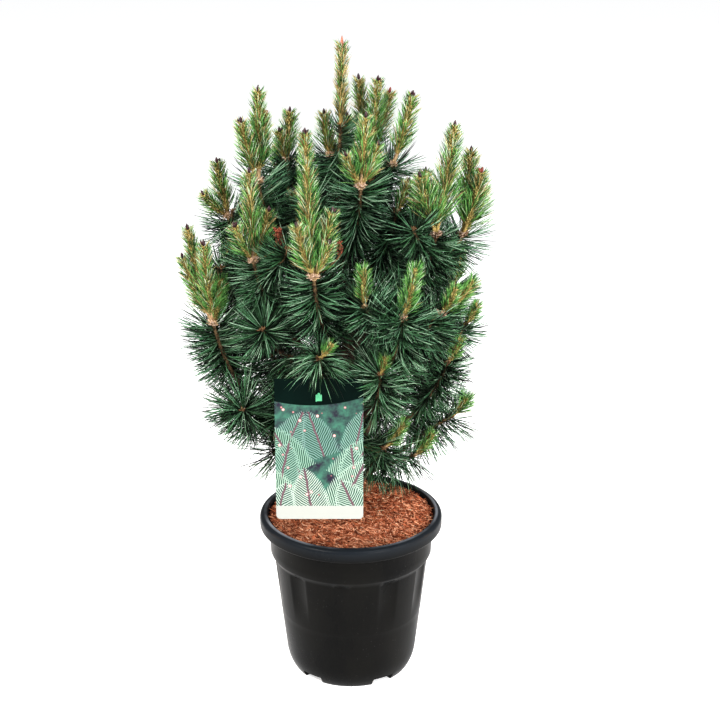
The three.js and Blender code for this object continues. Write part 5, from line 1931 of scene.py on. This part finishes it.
# %% A printed sprig
sprig, given, result = new_group(
    "sprig",
    [("Foot", "NodeSocketVector", (0, 0, 0)), ("Turn", "NodeSocketVector", (0, 0, 0)),
     ("Size", "NodeSocketVector", (1, 1, 1)), ("Needles", "NodeSocketFloat", 20.0)],
    [("Leaf", "NodeSocketFloat"), ("Strokes", "NodeSocketFloat"), ("Stem", "NodeSocketFloat")])
where = add_node(sprig, "ShaderNodeTexCoord")
waver = add_node(sprig, "ShaderNodeTexNoise", {"Scale": 90.0, "Detail": 1.0})
wavering = add_node(sprig, "ShaderNodeVectorMath", {1: (0.004, 0.004, 0.004)}, operation="MULTIPLY_ADD")
own = add_node(sprig, "ShaderNodeMapping", vector_type="TEXTURE")
split = add_node(sprig, "ShaderNodeSeparateXYZ")
side = maths(sprig, "ABSOLUTE")
slant = maths(sprig, "MULTIPLY_ADD", {1: -0.32})
often = maths(sprig, "MULTIPLY")
wave = maths(sprig, "SINE")
strokes = remap(sprig, -0.35, 0.45)
taper = maths(sprig, "POWER", {1: 3.0})
margin = maths(sprig, "ADD")
reach = maths(sprig, "MULTIPLY_ADD", {1: 0.16})
ragged = maths(sprig, "SUBTRACT", {0: 1.0})
inside_leaf = remap(sprig, -0.14, -0.10)
above_foot = maths(sprig, "GREATER_THAN", {1: 0.0})
leaf = maths(sprig, "MULTIPLY")
stem = remap(sprig, 0.05, 0.09, 1.0, 0.0)
stem_here = maths(sprig, "MULTIPLY")
wire(sprig,
     (where, "Object", waver, "Vector"), (waver, "Color", wavering, 0),
     (where, "Object", wavering, 2), (wavering, "Vector", own, "Vector"),
     (given, "Foot", own, "Location"), (given, "Turn", own, "Rotation"),
     (given, "Size", own, "Scale"), (own, "Vector", split, "Vector"),
     (split, "X", side, 0), (side, "Value", slant, 0),
     (split, "Z", slant, 2), (slant, "Value", often, 0),
     (given, "Needles", often, 1), (often, "Value", wave, 0),
     (wave, "Value", strokes, "Value"), (split, "Z", taper, 0),
     (taper, "Value", margin, 0), (side, "Value", margin, 1),
     (wave, "Value", reach, 0), (margin, "Value", ragged, 1),
     (ragged, "Value", reach, 2), (reach, "Value", inside_leaf, "Value"),
     (split, "Z", above_foot, 0), (inside_leaf, "Result", leaf, 0),
     (above_foot, "Value", leaf, 1), (side, "Value", stem, "Value"),
     (stem, "Result", stem_here, 0), (leaf, "Value", stem_here, 1),
     (leaf, "Value", result, "Leaf"), (strokes, "Result", result, "Strokes"),
     (stem_here, "Value", result, "Stem"))
print("sprig group with", len(sprig.nodes), "nodes")

# %% [markdown]
# ## The card's print
#
# A dozen sprigs lie one over the other, under red berries. A dark band with a curved edge crosses the
# top, and a pale strip stays bare at the foot.

# %% The card's print
BAND_BOTTOM = 0.198
BAND_RISE = 0.010
STRIP_HEIGHT = 0.0235
PRINT_TONE = 0.78
LEAF_SHADE = rgb(46, 84, 68)
SPRIG_STEM = rgb(112, 84, 92)
BERRY = rgb(170, 116, 118)
BERRY_SHINE = rgb(232, 190, 182)
STRIP = rgb(178, 178, 171)
BAND_CENTRE = 0.012
BAND_HALF = 0.07
EDGE_SOFT = 0.0002

card_finish = mottled("tag_card", rgb(238, 240, 228), rgb(250, 251, 244), 30, 0.5, 0.4, 1200, 0.03)
print_finish, tree, shader = new_material("tag_print", roughness=0.5, specular=0.04)


def ramp(tree, value, low, high):
    """1 where a value is under low, 0 where it is over high."""
    node = remap(tree, low, high, 1.0, 0.0)
    tree.links.new(value, node.inputs["Value"])
    return node.outputs["Result"]


def print_sprig(tree, under, foot, turn, size, needle_count, light):
    """One sprig over what is under it: leaf, pale needles and a stem."""
    values = {"Foot": (TAG_CENTRE_X + foot[0], 0, TAG_BOTTOM + foot[1]), "Turn": (0, math.radians(turn), 0),
              "Size": (size[0], 1, size[1]), "Needles": needle_count}
    layer = add_node(tree, "ShaderNodeGroup", values, node_tree=sprig)
    inside = mix_colours(tree, layer.outputs["Strokes"], LEAF_SHADE, rgb(*light))
    colour = mix_colours(tree, layer.outputs["Leaf"], under, inside)
    return mix_colours(tree, layer.outputs["Stem"], colour, SPRIG_STEM)


SPRIGS = (
    ((-0.055, 0.118), 24, (0.022, 0.075), 95, (131, 158, 148)),
    ((0.010, 0.112), -18, (0.022, 0.078), 95, (123, 151, 142)),
    ((0.058, 0.120), 12, (0.020, 0.070), 90, (134, 162, 151)),
    ((-0.030, 0.085), -30, (0.024, 0.088), 110, (144, 173, 155)),
    ((0.040, 0.070), 34, (0.026, 0.090), 110, (154, 177, 160)),
    ((-0.064, 0.050), 12, (0.025, 0.086), 110, (146, 173, 158)),
    ((0.062, 0.040), -6, (0.024, 0.088), 105, (157, 182, 166)),
    ((-0.048, 0.012), -32, (0.029, 0.105), 130, (169, 189, 171)),
    ((0.030, 0.010), 26, (0.029, 0.104), 130, (175, 192, 176)),
    ((-0.010, 0.006), -8, (0.026, 0.082), 110, (188, 197, 185)),
    ((0.066, 0.004), -24, (0.024, 0.070), 95, (177, 192, 178)),
    ((-0.068, 0.000), 14, (0.022, 0.066), 90, (182, 194, 182)),
)
picture = place_mottle(tree, rgb(52, 46, 60), rgb(76, 122, 104), 55).outputs["Color"]
for row in SPRIGS:
    picture = print_sprig(tree, picture, *row)
where = add_node(tree, "ShaderNodeTexCoord")
berries = add_node(tree, "ShaderNodeTexVoronoi", {"Scale": 62.0, "Randomness": 0.9})
split = add_node(tree, "ShaderNodeSeparateXYZ")
bulge = maths(tree, "ADD", {1: -TAG_CENTRE_X + BAND_CENTRE})
square = maths(tree, "MULTIPLY")
edge = maths(tree, "MULTIPLY_ADD", {1: -BAND_RISE / BAND_HALF ** 2})
wire(tree,
     (where, "Object", berries, "Vector"),
     (where, "Object", split, "Vector"),
     (split, "X", bulge, 0),
     (bulge, "Value", square, 0),
     (bulge, "Value", square, 1),
     (square, "Value", edge, 0),
     (split, "Z", edge, 2))
distance, up_card, band_line = berries.outputs["Distance"], split.outputs["Z"], edge.outputs["Value"]
picture = mix_colours(tree, ramp(tree, distance, 0.15, 0.18), picture, BERRY)
picture = mix_colours(tree, ramp(tree, distance, 0.11, 0.14), picture, BERRY_SHINE)
band = place_mottle(tree, rgb(0, 16, 12), rgb(4, 26, 21), 12).outputs["Color"]
band_edge = TAG_BOTTOM + BAND_BOTTOM
strip_edge = TAG_BOTTOM + STRIP_HEIGHT
under_band = ramp(tree, band_line, band_edge - EDGE_SOFT, band_edge + EDGE_SOFT)
picture = mix_colours(tree, under_band, band, picture)
on_strip = ramp(tree, up_card, strip_edge - EDGE_SOFT, strip_edge + EDGE_SOFT)
picture = mix_colours(tree, on_strip, picture, STRIP)
toned = add_node(tree, "ShaderNodeHueSaturation", {"Value": PRINT_TONE})
tree.links.new(picture, toned.inputs["Color"])
wire(tree, (toned, "Color", shader, "Base Color"))
place_grain(tree, shader, 900, 0.03)

TAG_THICKNESS = 0.0009
card_low, card_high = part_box("hang_tag")
card_middle = (TAG_CENTRE_X, (card_low[1] + card_high[1]) / 2, TAG_BOTTOM)
tag = flat_piece("hang_tag_card", [outline, hole], TAG_THICKNESS, card_middle, card_finish)
tag.data.materials.append(print_finish)
for face in tag.data.polygons:
    face.material_index = 1 if face.normal.y < -0.9 or face.normal.z > 0.5 else 0
print("tag faces to the front:", sum(face.material_index for face in tag.data.polygons))

# %% [markdown]
# ## Tie
#
# The tie is a stiff green plastic loop round the stem. It comes forward through the hole in the card and
# ends in the flat tab that keeps it there.

# %% Tie
TAB_HEIGHT = 0.014
TAB_THICKNESS = 0.0012
TAB_OUTLINE = [
    (-0.0018, 0.0070), (-0.0018, 0.0046), (-0.0045, 0.0044), (-0.0049, 0.0040), (-0.0051, -0.0066),
    (-0.0047, -0.0070), (-0.0030, -0.0070), (-0.0026, -0.0062), (0.0046, -0.0062), (0.0050, -0.0058),
    (0.0049, 0.0040), (0.0045, 0.0044), (0.0018, 0.0046), (0.0018, 0.0070)]
tie_finish = mottled("tie_green", rgb(56, 132, 92), rgb(84, 160, 118), 90, 0.4, 0.4, 800, 0.08)
tie = tie_path()
tie_points, tie_faces = tube(tie, 0.0, 1.0, 150, 12, lambda share: TIE_RADIUS)
tie_pieces = [make_piece("tie_loop", tie_points, tie_faces, tie_finish)]
tab_middle = (TAG_CENTRE_X, TAG_Y - TIE_FORWARD, TAG_HOLE_HEIGHT + 0.002 - TAB_HEIGHT / 2)
tab = flat_piece("tie_tab", [TAB_OUTLINE], TAB_THICKNESS, tab_middle, tie_finish)

bevel = tab.modifiers.new("rounded", "BEVEL")
bevel.width = 0.0003
bevel.segments = 2
bevel.limit_method = "ANGLE"
tie_pieces.append(tab)
print("tie of", round(tie.length, 3), "m")

# %% [markdown]
# ## Putting it together
#
# Nothing on this object moves, so every piece rides on the root body, and the imported nodes that it
# stands for are hidden.

# %% Putting it together
mass_nodes = [name for name in nodes if name.startswith("needles_")]
limb_nodes = ["trunk"] + [name for name in nodes if name.startswith("bough_")]


def hand_in(pieces, slot, *replaced):
    """Each piece rides on the root, and the nodes that it replaces are hidden. slot is not used."""
    for piece in pieces:
        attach(piece, "root")
        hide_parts(*replaced)


hand_in(foliage, "needles", *mass_nodes)
hand_in([bark_piece], "bark", *limb_nodes)
hand_in([pot], "pot_plastic", "pot")
hand_in(mulch_pieces, "mulch", "mulch")
hand_in([tag], "tag_card", "hang_tag")
hand_in(tie_pieces, "tag_tie", "tag_tie")
